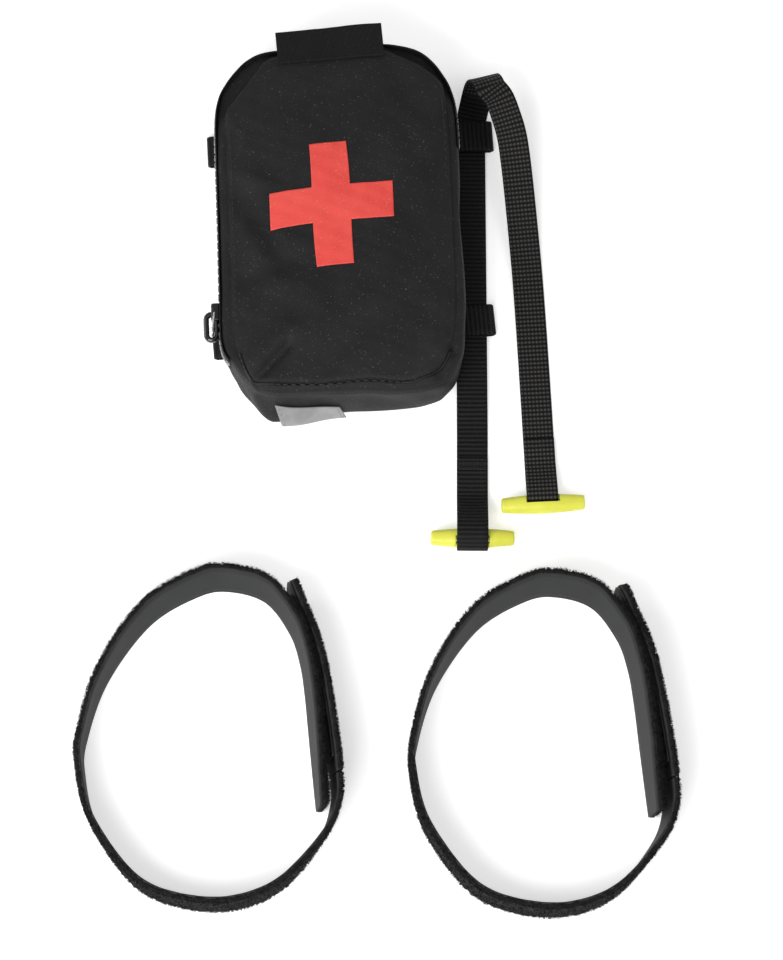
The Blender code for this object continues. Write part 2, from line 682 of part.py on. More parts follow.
def band_strip(name, run, thickness, look, parent, shift=0.0, margin=0.0, tip=0.0):
    """A strip standing on edge along a run of places and sideways directions.

    tip rounds its last end with that radius.
    """
    points, right = run
    steps = np.linalg.norm(np.diff(points, axis=0), axis=1)
    left_over = np.concatenate([np.cumsum(steps[::-1])[::-1], [0]])
    inside = np.clip(tip - left_over, 0, tip * 0.98)
    round_off = tip - np.sqrt(tip**2 - inside**2)
    height = math.sqrt(BAND_WIDTH**2 - BAND_LEAN**2)
    rings = []
    for k in range(len(points)):
        low, high = margin + round_off[k], height - margin - round_off[k]
        ring = []
        for side, z in ((-1, low), (1, low), (1, high), (-1, high)):
            edge = points[k : k + 1] + right[k] * (shift + side * thickness / 2)
            ring.append((*leaning(edge, z / height)[0], z))
        rings.append(ring)
    return loft(name, rings, look, parent)


def build_band(name, place):
    """A strip that goes once round and laps itself; the outer lap is a tab that peels off its hooks."""
    frame = empty(name + "_frame", (*place, 0))
    look, rough = material("pile", BLACK, 0.95), material("hooks", BLACK, 0.6)
    points = smooth(BAND_RUN, BAND_STEPS)
    along = unit(np.gradient(points, axis=0))
    right = np.column_stack([along[:, 1], -along[:, 0]])
    split = int(np.argmin(np.linalg.norm(points - np.array(TAB_START), axis=1)))
    after = np.vstack([points[split] + along[split] * GAP, points[split + 1 :]])
    tab = (after, right[split:])
    hooks = slice(HOOKS_FROM, HOOKS_TO)
    inward = -(BAND / 2 + GAP + HOOKS / 2)
    band_strip(name + "_strip", (points[: split + 1], right[: split + 1]), BAND, look, frame)
    peeling = [
        band_strip(name + "_tab", tab, BAND, look, frame, tip=BAND_TIP_RADIUS),
        band_strip(name + "_hooks", (after[hooks], tab[1][hooks]), HOOKS, rough, frame, inward, HOOK_MARGIN),
    ]
    outer_edge = points[split : split + 1] + right[split] * BAND / 2
    hang(name + "_tab_axis", (*leaning(outer_edge, 1)[0], 0), peeling, frame)


def main():
    for old in list(bpy.data.objects):
        bpy.data.objects.remove(old, do_unlink=True)
    pouch = empty("pouch_frame", (*POUCH_PLACE, 0), POUCH_YAW)
    build_pouch(pouch)
    toggle_strap()
    build_toggles()
    for name, place in BAND_PLACES.items():
        build_band(name, place)


main()
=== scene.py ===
"""Looks of the first-aid pouch kit: cloth, webbing, zip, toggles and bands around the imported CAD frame.

Metres, +Z up. Each piece's points are worked out as whole numpy arrays, in the frame's own place.
"""

import math

import bmesh
import bpy
import numpy as np
from bpy.props import FloatProperty, FloatVectorProperty, IntProperty, PointerProperty
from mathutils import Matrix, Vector


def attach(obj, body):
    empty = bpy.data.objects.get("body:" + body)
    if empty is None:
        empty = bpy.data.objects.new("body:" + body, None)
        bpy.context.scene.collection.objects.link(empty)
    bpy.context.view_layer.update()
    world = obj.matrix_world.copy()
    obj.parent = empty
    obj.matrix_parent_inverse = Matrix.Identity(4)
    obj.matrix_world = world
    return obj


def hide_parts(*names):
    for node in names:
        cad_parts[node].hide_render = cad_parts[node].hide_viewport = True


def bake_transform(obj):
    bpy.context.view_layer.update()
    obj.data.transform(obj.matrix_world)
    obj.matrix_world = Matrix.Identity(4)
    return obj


bl_info = {
    "name": "First-aid pouch kit",
    "version": (1, 0, 0),
    "blender": (4, 5, 0),
    "location": "3D View > Sidebar > Pouch kit",
    "description": "Makes the pouch, its toggle strap and the two bands around the CAD frame",
    "category": "Object",
}

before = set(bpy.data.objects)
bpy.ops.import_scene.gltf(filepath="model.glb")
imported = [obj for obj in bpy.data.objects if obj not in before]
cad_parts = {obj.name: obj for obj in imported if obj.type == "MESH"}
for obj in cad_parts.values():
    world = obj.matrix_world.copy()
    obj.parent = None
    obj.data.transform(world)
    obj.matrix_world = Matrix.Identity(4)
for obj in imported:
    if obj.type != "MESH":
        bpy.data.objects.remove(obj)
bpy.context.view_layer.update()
RANDOM = np.random.default_rng(11)

# ---------------------------------------------------------------- places shared with the CAD
GAP = 0.0003
WEBBING = 0.0013
POUCH_PLACE = np.array([-0.0184, 0.1155])
POUCH_YAW = math.radians(2.5)
POUCH_HALF_WIDTH = 0.0585
ZIP_HEIGHT = 0.029
SLIDER_AT = -0.0433
FOLD_LOW, FOLD_HIGH = (-0.0512, -0.0778), (0.0581, 0.0124)
FOLD_TOP = 0.0415
STRAP_WIDTH = 0.0150
STRAP_ON_TABLE = 0.0007
STRAP_IN_LOOPS = 0.0025
TOGGLE_LEFT, TOGGLE_RIGHT = np.array([0.0457, -0.0360]), np.array([0.0797, -0.0189])
STRAP_LEFT_X = 0.0461
STRAP_RISES = (0.0201, 0.0451)
ARCH_START, ARCH_RADIUS, ARCH_LEAD = 0.1906, 0.0095, math.radians(14)
ARCH_SHIFT, ARCH_SHIFT_FROM, ARCH_SHIFT_TO = 0.0042, 0.1758, 0.2038
STRAP_RIGHT = [
    (0.0599, 0.1851, 0.0210),
    (0.0653, 0.1729, 0.0175),
    (0.0685, 0.1552, 0.0120),
    (0.0725, 0.1158, 0.0030),
    (0.0747, 0.0851, 0.0007),
    (0.0772, 0.0354, 0.0007),
]
DOUBLED_LEFT, DOUBLED_RIGHT = 0.041, 0.034
BACK_STRAPS = {"upper": (0.0539, 0.017), "lower": (-0.0459, 0.049)}  # height on the back, and slope
TOGGLE_RADIUS, TOGGLE_BAR = 0.0047, 0.0015
BAND_WIDTH, BAND = 0.024, 0.0030
BAND_LEAN, BAND_LEAN_SPREAD = 0.0045, 0.15
BAND_PLACES = {"band_1": (-0.0783, -0.1381), "band_2": (0.0771, -0.1407)}
BAND_RUN = [
    (0.0513, -0.0303), (0.0502, -0.0204), (0.0479, 0.0021), (0.0456, 0.0250), (0.0432, 0.0407),
    (0.0381, 0.0561), (0.0260, 0.0722), (0.0081, 0.0779), (-0.0075, 0.0753), (-0.0305, 0.0608),
    (-0.0503, 0.0324), (-0.0595, 0.0036), (-0.0600, -0.0126), (-0.0535, -0.0372), (-0.0334, -0.0646),
    (-0.0121, -0.0745), (0.0124, -0.0756), (0.0342, -0.0659), (0.0527, -0.0430), (0.0580, -0.0270),
    (0.0576, -0.0160), (0.0562, -0.0050), (0.0535, 0.0120), (0.0499, 0.0344), (0.0458, 0.0501),
    (0.0404, 0.0638), (0.0371, 0.0752),
]
TAB_START = np.array([0.0576, -0.0160])
BAND_TIP_RADIUS = 0.009

# Heights of the pouch's levels: back, back seam, low belly, lower and upper edge of the zip.
BACK_HEIGHT = 0.0019
BACK_SEAM, BELLY, ZIP_LOW, ZIP_HIGH = 0.0026, 0.0100, 0.0262, 0.0318
# Stations clockwise from the left side's middle: the belly at the zip, the front panel's
# edge and the belly near the back, each as x and y in millimetres in the pouch's own frame.
STATIONS = np.array([
    (-58.6, 0, -53.2, 0, -57, 0), (-58.6, 28, -53.2, 25, -57, 28),
    (-58.4, 54, -53.4, 47, -57, 54), (-56.6, 66.5, -53.2, 57.5, -55, 66),
    (-52.9, 74.2, -49.0, 64.2, -51, 73), (-47.8, 81.0, -44.0, 71.0, -46, 79.5),
    (-41.7, 86.8, -38.4, 78.4, -40, 85), (-32.7, 90.6, -32.4, 85.6, -32, 89),
    (-15, 91.9, -24, 87.0, -15, 90), (5, 92.5, 0, 87.6, 5, 90.5),
    (20, 92.7, 19, 88.0, 20, 91), (30, 92.0, 27, 87.8, 30, 90.5),
    (41.3, 88.6, 38.5, 82.0, 40, 87), (48.3, 82.9, 47.0, 75.8, 46.5, 81.5),
    (53.5, 75.2, 52.3, 70.2, 52, 74), (57.2, 67, 54.3, 63, 55.5, 66),
    (59.2, 55, 55.0, 52, 57.5, 55), (59.6, 30, 55.2, 30, 58, 30),
    (58.8, 0, 54.8, 0, 57.2, 0), (59.2, -33, 54.6, -33, 57.5, -33),
    (58.2, -57, 53.4, -57, 56.5, -58), (55.8, -72, 50.5, -68.5, 54.5, -73),
    (50, -82.5, 45.5, -77.8, 50, -81.5), (41, -87.6, 36, -83.2, 43, -86.4),
    (28, -89.2, 27, -84.9, 31, -88.8), (8, -88.2, 10, -83.2, 8, -89.6),
    (-10, -87.8, -10, -84.3, -10, -90.0), (-28, -88.2, -30, -83.4, -29, -92.6),
    (-40, -86.0, -42.0, -82.0, -38.5, -91.6), (-47.0, -81, -46.2, -78.2, -44.5, -85),
    (-54.4, -70.9, -50.2, -67, -51.4, -74.4), (-58.8, -59.8, -53.2, -54, -55.6, -62),
    (-58.8, -30, -53.2, -26, -57, -30),
]) / 1000
STATION_COUNT = len(STATIONS)
STATION_STEPS = 14  # columns of cloth between two stations
ZIP_START, ZIP_END = -2.75, 16.7  # stations where the zip starts and ends, clockwise
# Soft folds of the front panel: two ends, half width and height, millimetres, pouch frame.
FOLDS = np.array([
    (-43, -81, -27, -65, 2.6, -1.1), (-41, -70, -27, -57, 5.5, 0.75), (-46, -29, -22, -22, 6.0, -0.75),
    (-47, 12, -30, -16, 6.0, -0.7), (-50, 27, -36, 19, 5.0, 0.5), (-13, -82, 0, -66, 3.0, -0.35),
    (-44, -8, -30, -34, 6.0, 0.45), (42, -84, 50, -68, 2.6, -0.8), (50, -68, 52, -40, 3.0, -0.5),
    (44, -70, 47, -42, 4.0, 0.5), (-20, -60, 10, -45, 9.0, 0.4), (12, -72, 34, -60, 8.0, 0.35),
    (-30, 62, 20, 68, 10.0, -0.35), (24, 40, 44, 8, 9.0, 0.4), (40, 60, 30, 78, 7.0, -0.35),
])


# ---------------------------------------------------------------- numpy helpers
def unit(vectors):
    """The same directions with length 1."""
    return vectors / np.linalg.norm(vectors, axis=-1, keepdims=True)


def to_kit(points):
    """Turns points of the pouch's frame by its yaw and moves them to its place."""
    points = np.asarray(points, float)
    c, s = math.cos(POUCH_YAW), math.sin(POUCH_YAW)
    x, y = points[..., 0], points[..., 1]
    moved = np.stack([POUCH_PLACE[0] + c * x - s * y, POUCH_PLACE[1] + s * x + c * y], axis=-1)
    return np.concatenate([moved, points[..., 2:]], axis=-1)


def turned(vectors):
    """Directions of the pouch's frame turned by its yaw."""
    v = np.asarray(vectors, float)
    c, s = math.cos(POUCH_YAW), math.sin(POUCH_YAW)
    return np.stack([c * v[..., 0] - s * v[..., 1], s * v[..., 0] + c * v[..., 1], v[..., 2]], axis=-1)


def run_length(path):
    """How far along the path each of its points is."""
    return np.concatenate([[0], np.cumsum(np.linalg.norm(np.diff(path, axis=0), axis=1))])


def even(path, count):
    """The same path with its points at even steps of its length."""
    length = run_length(path)
    at = np.linspace(0, length[-1], count)
    return np.column_stack([np.interp(at, length, path[:, k]) for k in range(path.shape[1])])


def catmull(a, b, c, d, u):
    """The cubic through b and c whose slopes there are half of c - a and half of d - b."""
    return 0.5 * (2 * b + (c - a) * u + (2 * a - 5 * b + 4 * c - d) * u**2 + (3 * b - a - 3 * c + d) * u**3)


def smooth(points, count):
    """A Catmull-Rom curve through the points, read at even steps of its length."""
    p = np.asarray(points, float)
    p = np.vstack([2 * p[0] - p[1], p, 2 * p[-1] - p[-2]])
    u = np.linspace(0, 1, 40, endpoint=False)[None, :, None]
    runs = catmull(p[:-3, None], p[1:-2, None], p[2:-1, None], p[3:, None], u)
    return even(np.vstack([runs.reshape(-1, p.shape[1]), p[-2]]), count)


def at_stations(q):
    """The stations' six numbers at fractional stations, on closed Catmull-Rom curves."""
    q = np.mod(np.asarray(q, float), STATION_COUNT)
    k = np.floor(q).astype(int)
    u = (q - k)[:, None]
    a, b, c, d = (STATIONS[(k + j) % STATION_COUNT] for j in (-1, 0, 1, 2))
    return catmull(a, b, c, d, u)


def ramp(value, low, high):
    """0 below low, 1 above high and a smooth S between them."""
    t = np.clip((value - low) / (high - low), 0, 1)
    return t * t * (3 - 2 * t)


def grid_faces(rows, columns, close_rows=False, close_columns=False):
    """Corner numbers of the quads of a grid of points, rows by columns."""
    r = np.arange(rows if close_rows else rows - 1)
    c = np.arange(columns if close_columns else columns - 1)
    r, c = np.meshgrid(r, c, indexing="ij")
    this, above = r * columns, (r + 1) % rows * columns
    ahead = (c + 1) % columns
    return np.stack([this + c, this + ahead, above + ahead, above + c], axis=-1).reshape(-1, 4)


def loft_faces(rings, sides):
    """Faces of a closed solid through rings of points: its skin and its two ends."""
    end = np.arange(sides)[None]
    return [grid_faces(rings, sides, close_columns=True), end, end + (rings - 1) * sides]


def put_mesh(name, points, faces, uv=None):
    """A new object whose mesh has these points and lists of equal-sided faces."""
    points = np.asarray(points, np.float32).reshape(-1, 3)
    mesh = bpy.data.meshes.new(name)
    mesh.vertices.add(len(points))
    mesh.vertices.foreach_set("co", points.ravel())
    corners = np.concatenate([f.ravel() for f in faces]).astype(np.int32)
    sizes = np.concatenate([np.full(len(f), f.shape[1]) for f in faces])
    mesh.loops.add(len(corners))
    mesh.loops.foreach_set("vertex_index", corners)
    mesh.polygons.add(len(sizes))
    mesh.polygons.foreach_set("loop_start", np.concatenate([[0], np.cumsum(sizes)[:-1]]).astype(np.int32))
    mesh.polygons.foreach_set("use_smooth", np.ones(len(sizes), bool))
    mesh.update(calc_edges=True)
    mesh.validate()
    if uv is not None:
        layer = mesh.uv_layers.new(name="along")
        layer.data.foreach_set("uv", np.asarray(uv, np.float32)[corners].ravel())
    made = bpy.data.objects.new(name, mesh)
    bpy.context.scene.collection.objects.link(made)
    return made


def bake(piece):
    """Puts a piece's modifiers into its mesh."""
    bpy.context.view_layer.update()
    graph = bpy.context.evaluated_depsgraph_get()
    mesh = bpy.data.meshes.new_from_object(piece.evaluated_get(graph))
    old = piece.data
    piece.modifiers.clear()
    piece.data = mesh
    bpy.data.meshes.remove(old)
    mesh.name = piece.name


def solidify(piece, thickness, offset=-1.0):
    """Gives a sheet its thickness: offset -1 adds it below the faces, 0 on both sides."""
    change = piece.modifiers.new("thickness", "SOLIDIFY")
    change.thickness, change.offset = thickness, offset
    return piece


def repeated(places, axes, shape, faces):
    """Copies of a small shape: each place plus the shape's points along that place's three axes."""
    places, axes = np.asarray(places), np.asarray(axes)
    copies = places[:, None] + np.einsum("pk,nkc->npc", shape, axes)
    shift = (np.arange(len(places)) * len(shape))[:, None, None]
    return copies.reshape(-1, 3), [(f[None] + shift).reshape(-1, f.shape[1]) for f in faces]


def capsule(length, radius, sides=8, rings=3, flat=1.0):
    """Points and faces of a closed rod with round ends along its first axis.

    Each end is a quarter circle turned round the axis; flat scales the rod's third axis.
    """
    turn = np.linspace(0, math.pi / 2, rings + 1)[1:]
    half = length / 2 - radius
    x = np.concatenate([-half - radius * np.cos(turn), half + radius * np.cos(turn[::-1])])
    r = np.concatenate([radius * np.sin(turn), radius * np.sin(turn[::-1])])
    t = np.linspace(0, 2 * math.pi, sides, endpoint=False)
    y, z = r[:, None] * np.cos(t), r[:, None] * np.sin(t) * flat
    ring = np.stack([np.repeat(x[:, None], sides, 1), y, z], axis=-1)
    points = np.vstack([ring.reshape(-1, 3), [[-half - radius, 0, 0]], [[half + radius, 0, 0]]])
    quads = grid_faces(len(x), sides, close_columns=True)[:, ::-1]
    s, tip = np.arange(sides), len(x) * sides
    ahead, last_ring = (s + 1) % sides, tip - sides
    first = np.column_stack([ahead, s, np.full(sides, tip)])
    last = np.column_stack([np.full(sides, tip + 1), last_ring + s, last_ring + ahead])
    return points, [quads, np.vstack([first, last])]


def closed_tube(name, path, half_up, half_across, sides, up):
    """A bar round a closed path: at each point, an ellipse square to the path.

    up is the direction that the first half size is measured along, made square to the path.
    """
    path = np.asarray(path, float)
    along = unit(np.roll(path, -1, axis=0) - np.roll(path, 1, axis=0))
    up = np.tile(np.asarray(up, float), (len(path), 1))
    up = unit(up - along * np.sum(up * along, axis=1, keepdims=True))
    across = np.cross(along, up)
    t = np.linspace(0, 2 * math.pi, sides, endpoint=False)[None, :, None]
    points = path[:, None] + half_up * np.sin(t) * up[:, None] + half_across * np.cos(t) * across[:, None]
    return outward(put_mesh(name, points, [grid_faces(len(path), sides, True, True)]))


def outward(piece, merge=False):
    """Turns a mesh's faces outwards, after its doubled points are merged if asked."""
    bm = bmesh.new()
    bm.from_mesh(piece.data)
    if merge:
        bmesh.ops.remove_doubles(bm, verts=bm.verts, dist=1e-6)
    bmesh.ops.recalc_face_normals(bm, faces=bm.faces)
    bm.to_mesh(piece.data)
    bm.free()
    return piece


def moved(piece, change):
    """Puts the mesh's points through a function of their whole array."""
    points = np.zeros(len(piece.data.vertices) * 3)
    piece.data.vertices.foreach_get("co", points)
    piece.data.vertices.foreach_set("co", change(points.reshape(-1, 3)).ravel())
    piece.data.update()
    return piece


def settle(piece, look, body=None, nodes=()):
    """Gives a piece its look, the body it moves with and the nodes it stands for."""
    piece.data.materials.clear()
    piece.data.materials.append(look)
    if body:
        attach(piece, body)
    if nodes:
        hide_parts(*nodes)
    return piece


FOLD_REACH = 0.025  # FOLD_REACH = 0.025 # how far into the lid its cloth would bend
FOLD_DROP = 1.15  # FOLD_DROP = 1.15 # how much sooner the lower cloth would stay with the pouch


def fold_blend(piece):
    """Puts the piece's place into its mesh. The rate of a bend from the pouch to the lid across the fold
    line, sooner where the cloth lies lower, is worked out but not applied.
    """
    low, high = to_kit([(*FOLD_LOW, FOLD_TOP), (*FOLD_HIGH, FOLD_TOP)])
    along = unit(high - low)
    rate = np.array([-along[1], along[0], FOLD_DROP]) / FOLD_REACH
    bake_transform(piece)


def settle_side(piece, look, body, node):
    """Settles a piece of one side of the zip: the lid's side goes through fold_blend and is left unattached,
    the other rides with its body.
    """
    if body == "lid":
        fold_blend(piece)
    settle(piece, look, None if body == "lid" else body, (node,))


# ---------------------------------------------------------------- shader maths
class Value:
    """A shader socket; arithmetic on it adds Math nodes to its material."""

    def __init__(self, tree, socket):
        self.tree, self.socket = tree, socket

    def math(self, operation, *others):
        """A Math node on this value and the others."""
        node = self.tree.nodes.new("ShaderNodeMath")
        node.operation = operation
        for place, value in zip(node.inputs, (self, *others)):
            Look.feed(self.tree, place, value)
        return Value(self.tree, node.outputs[0])

    def __add__(self, other):
        return self.math("ADD", other)

    def __mul__(self, other):
        return self.math("MULTIPLY", other)

    def __sub__(self, other):
        return self.math("SUBTRACT", other)

    def __rsub__(self, other):
        return (self * -1) + other

    __radd__, __rmul__ = __add__, __mul__

    def sin(self):
        """The sine of the value in radians."""
        return self.math("SINE")

    def step(self, low, high):
        """0 below low, 1 above high and straight between."""
        node = self.tree.nodes.new("ShaderNodeMapRange")
        Look.feed(self.tree, node.inputs["Value"], self)
        node.inputs["From Min"].default_value = low
        node.inputs["From Max"].default_value = high
        return Value(self.tree, node.outputs[0])


class Look:
    """A Principled material, with one method that adds any other node."""

    def __init__(self, name, **constants):
        self.material = bpy.data.materials.new(name)
        self.material.use_nodes = True
        self.tree = self.material.node_tree
        self.shader = self.tree.nodes["Principled BSDF"]
        for key, value in constants.items():
            self.shader.inputs[key.replace("_", " ")].default_value = value

    @staticmethod
    def feed(tree, place, value):
        """Links a value to a socket, or sets the socket to a number, colour or vector."""
        if isinstance(value, Value):
            tree.links.new(value.socket, place)
        elif isinstance(value, (tuple, list)) and len(value) == 3 and place.type == "RGBA":
            place.default_value = (*value, 1)
        else:
            place.default_value = value

    def node(self, kind, output=0, settings=None, **values):
        """Adds a node: its settings first, then the values or links of its named sockets."""
        node = self.tree.nodes.new("ShaderNode" + kind)
        for key, value in (settings or {}).items():
            setattr(node, key, value)
        for key, value in values.items():
            self.feed(self.tree, node.inputs[key.replace("_", " ")], value)
        return Value(self.tree, node.outputs[output])

    def place(self, turn=0.0):
        """Object coordinates, turned about Z."""
        spot = self.node("TexCoord", "Object")
        return self.node("Mapping", Vector=spot, Rotation=(0, 0, turn))

    def axes(self, vector):
        """The vector's three parts."""
        node = self.tree.nodes.new("ShaderNodeSeparateXYZ")
        self.feed(self.tree, node.inputs[0], vector)
        return [Value(self.tree, out) for out in node.outputs]

    def noise(self, vector, scale, detail=3.0, roughness=0.55):
        """Soft noise from 0 to 1."""
        return self.node("TexNoise", "Fac", Vector=vector, Scale=scale, Detail=detail, Roughness=roughness)

    def mix(self, share, first, second):
        """A colour between two colours."""
        node = self.tree.nodes.new("ShaderNodeMix")
        node.data_type = "RGBA"
        for index, value in ((0, share), (6, first), (7, second)):
            self.feed(self.tree, node.inputs[index], value)
        return Value(self.tree, node.outputs[2])

    def set(self, **values):
        """Sets or links the shader's own sockets by name."""
        for key, value in values.items():
            self.feed(self.tree, self.shader.inputs[key.replace("_", " ")], value)
        return self

    def bump(self, height, distance, strength=1.0):
        """Raises the surface by height times distance."""
        normal = self.node("Bump", "Normal", Height=height, Distance=distance, Strength=strength)
        self.tree.links.new(normal.socket, self.shader.inputs["Normal"])
        return self


TURN = 2 * math.pi
THREAD_PITCH = 0.00062  # of the pouch's cloth
THREAD_TURN = POUCH_YAW + 0.6  # direction of its threads


def tones(colour):
    """A colour from the settings, and the deeper tone that it varies to."""
    colours = bpy.context.scene.kit_colours
    return tuple(getattr(colours, colour + "_deep")), tuple(getattr(colours, colour))


def cloth_look():
    """Coated plain-weave nylon: fine crossed threads, a few bright yarn specks and a soft sheen."""
    look = Look("coated_nylon", Specular_IOR_Level=0.14)
    spot = look.place(THREAD_TURN)
    x, y, z = look.axes(spot)
    pitch = TURN / THREAD_PITCH
    warp, weft = ((x + z * 0.7) * pitch).sin(), ((y - z * 0.7) * pitch).sin()
    weave = warp * weft * 0.5 + 0.5
    grain = look.noise(spot, 2600, 2.0)
    mottle = look.noise(spot, 38, 4.0)
    speck = look.noise(spot, 1100, 1.0).step(0.68, 0.76)
    tone = look.mix(mottle.step(0.3, 0.7), *tones("cloth"))
    tone = look.mix((weave * 0.5 + grain * 0.5).step(0.25, 0.8) * 0.5, tone, (0.027, 0.0265, 0.0265))
    tone = look.mix(speck * 0.6, tone, (0.11, 0.11, 0.11))
    look.set(Base_Color=tone, Roughness=mottle * 0.14 + 0.50)
    look.bump(weave * 0.6 + grain * 0.6, 0.00022, 0.7)
    return look.material


OTHER_FACE_FROM = 0.3005  # length of the strap's run at which its other face comes up


def webbing_look(name="webbing", rib=0.0022, light=(0.016, 0.016, 0.016), other_face=False):
    """Ribbed webbing: cross ribs along the piece's length, and threads that pass over and under them.

    The strap's other face shows past the arch: lighter, with its threads in plain columns.
    """
    look = Look(name, Specular_IOR_Level=0.12)
    u, v, _ = look.axes(look.node("UVMap", settings={"uv_map": "along"}))
    ribs = (u * (TURN / rib)).sin() * 0.5 + 0.5
    columns = (v * (TURN / 0.0018)).sin() * 0.5 + 0.5
    fine = (u * (TURN / (rib / 4))).sin() * (v * (TURN / 0.0005)).sin()
    grain = look.noise(look.place(), 900, 3.0)
    if other_face:
        back = u.step(OTHER_FACE_FROM - 0.0005, OTHER_FACE_FROM + 0.0005)
        pattern = ribs * (columns * (back * 0.62 + 0.15) + (back * -0.62 + 0.85))
    else:
        pattern = ribs * (columns * 0.15 + 0.85)
    tone = look.mix(pattern.step(0.10, 0.95), (0.0050, 0.0050, 0.0050), light)
    if other_face:
        tone = look.mix(back, look.mix(0.82, tone, (0.0035, 0.0035, 0.0035)), tone)
    tone = look.mix(grain.step(0.62, 0.80) * 0.35, tone, (0.09, 0.088, 0.085))
    look.set(Base_Color=tone, Roughness=grain * 0.2 + 0.48)
    look.bump(pattern * 0.8 + fine * 0.16 + grain * 0.25, 0.0003, 0.7)
    return look.material


def plain_look(name, colour, rough, grain_scale=400, grain_depth=0.00004, vary=0.2, **constants):
    """A moulded or painted finish with a faint grain and a little variation of tone."""
    look = Look(name, **constants)
    spot = look.place()
    soft = look.noise(spot, 60, 3.0)
    grain = look.noise(spot, grain_scale, 3.0)
    dark = tuple(c * (1 - vary) for c in colour)
    look.set(Base_Color=look.mix(soft.step(0.3, 0.7), dark, colour), Roughness=grain * 0.12 + (rough - 0.06))
    look.bump(grain, grain_depth, 0.4)
    return look.material


def print_look():
    """Matte red print on the cloth: the weave shows through, with pinholes and faded grain."""
    look = Look("red_print", Specular_IOR_Level=0.35)
    spot = look.place(THREAD_TURN)
    x, y, _ = look.axes(spot)
    pitch = TURN / THREAD_PITCH
    weave = (x * pitch).sin() * (y * pitch).sin() * 0.5 + 0.5
    grain = look.noise(spot, 1900, 3.0, 0.7)
    soft = look.noise(spot, 45, 3.0)
    pinhole = look.noise(spot, 1300, 1.0).step(0.71, 0.77)
    tone = look.mix(soft.step(0.3, 0.7), *tones("print"))
    tone = look.mix(grain.step(0.52, 0.85) * 0.45, tone, (0.82, 0.22, 0.17))
    tone = look.mix(pinhole * 0.5, tone, (0.85, 0.50, 0.42))
    look.set(Base_Color=tone, Roughness=grain * 0.1 + 0.5)
    look.bump(weave * 0.5 + grain * 0.5, 0.00012, 0.5)
    return look.material


def pile_look():
    """Looped pile: near black, broken into clumps."""
    look = Look("loop_pile", Specular_IOR_Level=0.15)
    spot = look.place()
    clumps = look.noise(spot, 520, 4.0, 0.7)
    loops = look.noise(spot, 1700, 3.0, 0.7)
    both = clumps * 0.5 + loops * 0.5
    tone = look.mix(both.step(0.42, 0.66), (0.0025, 0.0025, 0.0025), (0.020, 0.0195, 0.019))
    look.set(Base_Color=tone, Roughness=loops * 0.15 + 0.7)
    look.bump(clumps * 0.7 + loops * 0.6, 0.0007, 0.9)
    return look.material


def backing_look():
    """Smooth woven backing of the bands: dark grey with a faint lengthwise and cross thread."""
    look = Look("band_backing", Specular_IOR_Level=0.12)
    u, v, _ = look.axes(look.node("UVMap", settings={"uv_map": "along"}))
    weave = (u * (TURN / 0.0006)).sin() * (v * (TURN / 0.0007)).sin() * 0.5 + 0.5
    soft = look.noise(look.place(), 70, 3.0)
    tone = look.mix(soft.step(0.3, 0.7), *tones("backing"))
    tone = look.mix(weave * 0.3, tone, (0.040, 0.0405, 0.0405))
    look.set(Base_Color=tone, Roughness=soft * 0.1 + 0.6)
    look.bump(weave, 0.0001, 0.5)
    return look.material


def reflective_look():
    """Silver-grey reflective cloth: even grey beads with faint wear."""
    look = Look("reflective_cloth", Metallic=0.15)
    spot = look.place(POUCH_YAW)
    beads = look.noise(spot, 2500, 2.0)
    wear = look.noise(spot, 150, 4.0)
    tone = look.mix(wear.step(0.35, 0.7), *tones("reflective"))
    look.set(Base_Color=tone, Roughness=beads * 0.2 + 0.35)
    look.bump(beads, 0.00008, 0.5)
    return look.material


def toggle_look():
    """Moulded yellow-green plastic with a satin skin."""
    glow = {"Subsurface_Weight": 0.10, "Subsurface_Radius": (0.002, 0.002, 0.0006)}
    look = Look("toggle_plastic", Specular_IOR_Level=0.4, **glow)
    spot = look.place()
    soft = look.noise(spot, 120, 3.0)
    grain = look.noise(spot, 1500, 2.0)
    tone = look.mix(soft.step(0.25, 0.75), *tones("toggle"))
    look.set(Base_Color=tone, Roughness=grain * 0.1 + 0.38)
    look.bump(grain, 0.00004, 0.4)
    return look.material


LOOKS = {}


def looks():
    """The materials, made once."""
    if not LOOKS:
        gloss = {"vary": 0.3, "Coat_Weight": 0.6}
        LOOKS.update(
            cloth=cloth_look(),
            webbing=webbing_look(),
            strap=webbing_look("strap_webbing", light=(0.066, 0.0635, 0.061), other_face=True),
            pile=pile_look(),
            backing=backing_look(),
            red=print_look(),
            reflective=reflective_look(),
            toggle=toggle_look(),
            label=webbing_look("label_cloth", 0.0006, (0.018, 0.018, 0.018)),
            tape=webbing_look("zip_tape", 0.0008, (0.022, 0.022, 0.022)),
            # painted highlight: the black coils get a grey colour so that their turns show as light beads
            coil=plain_look("zip_coil", (0.085, 0.085, 0.087), 0.22, Coat_Roughness=0.12, **gloss),
            slider=plain_look("slider_paint", (0.005, 0.005, 0.0052), 0.30, vary=0.3, Coat_Weight=0.3),
            wire=plain_look("steel_wire", (0.62, 0.62, 0.63), 0.22, vary=0.1, Metallic=1.0),
            grip=plain_look("grip_plastic", (0.004, 0.004, 0.0042), 0.16, Coat_Roughness=0.1, **gloss),
            thread=plain_look("thread", (0.006, 0.006, 0.006), 0.6, 2500, 0.00006),
            grey_thread=plain_look("grey_thread", (0.22, 0.22, 0.22), 0.6, 2500, 0.00006),
            hooks=plain_look("hook_tape", (0.012, 0.012, 0.012), 0.55, 1500, 0.0003),
        )
    return LOOKS


# ---------------------------------------------------------------- pouch surfaces
PANEL_HALF = (0.056, 0.088)
PANEL_TOP = 0.0411


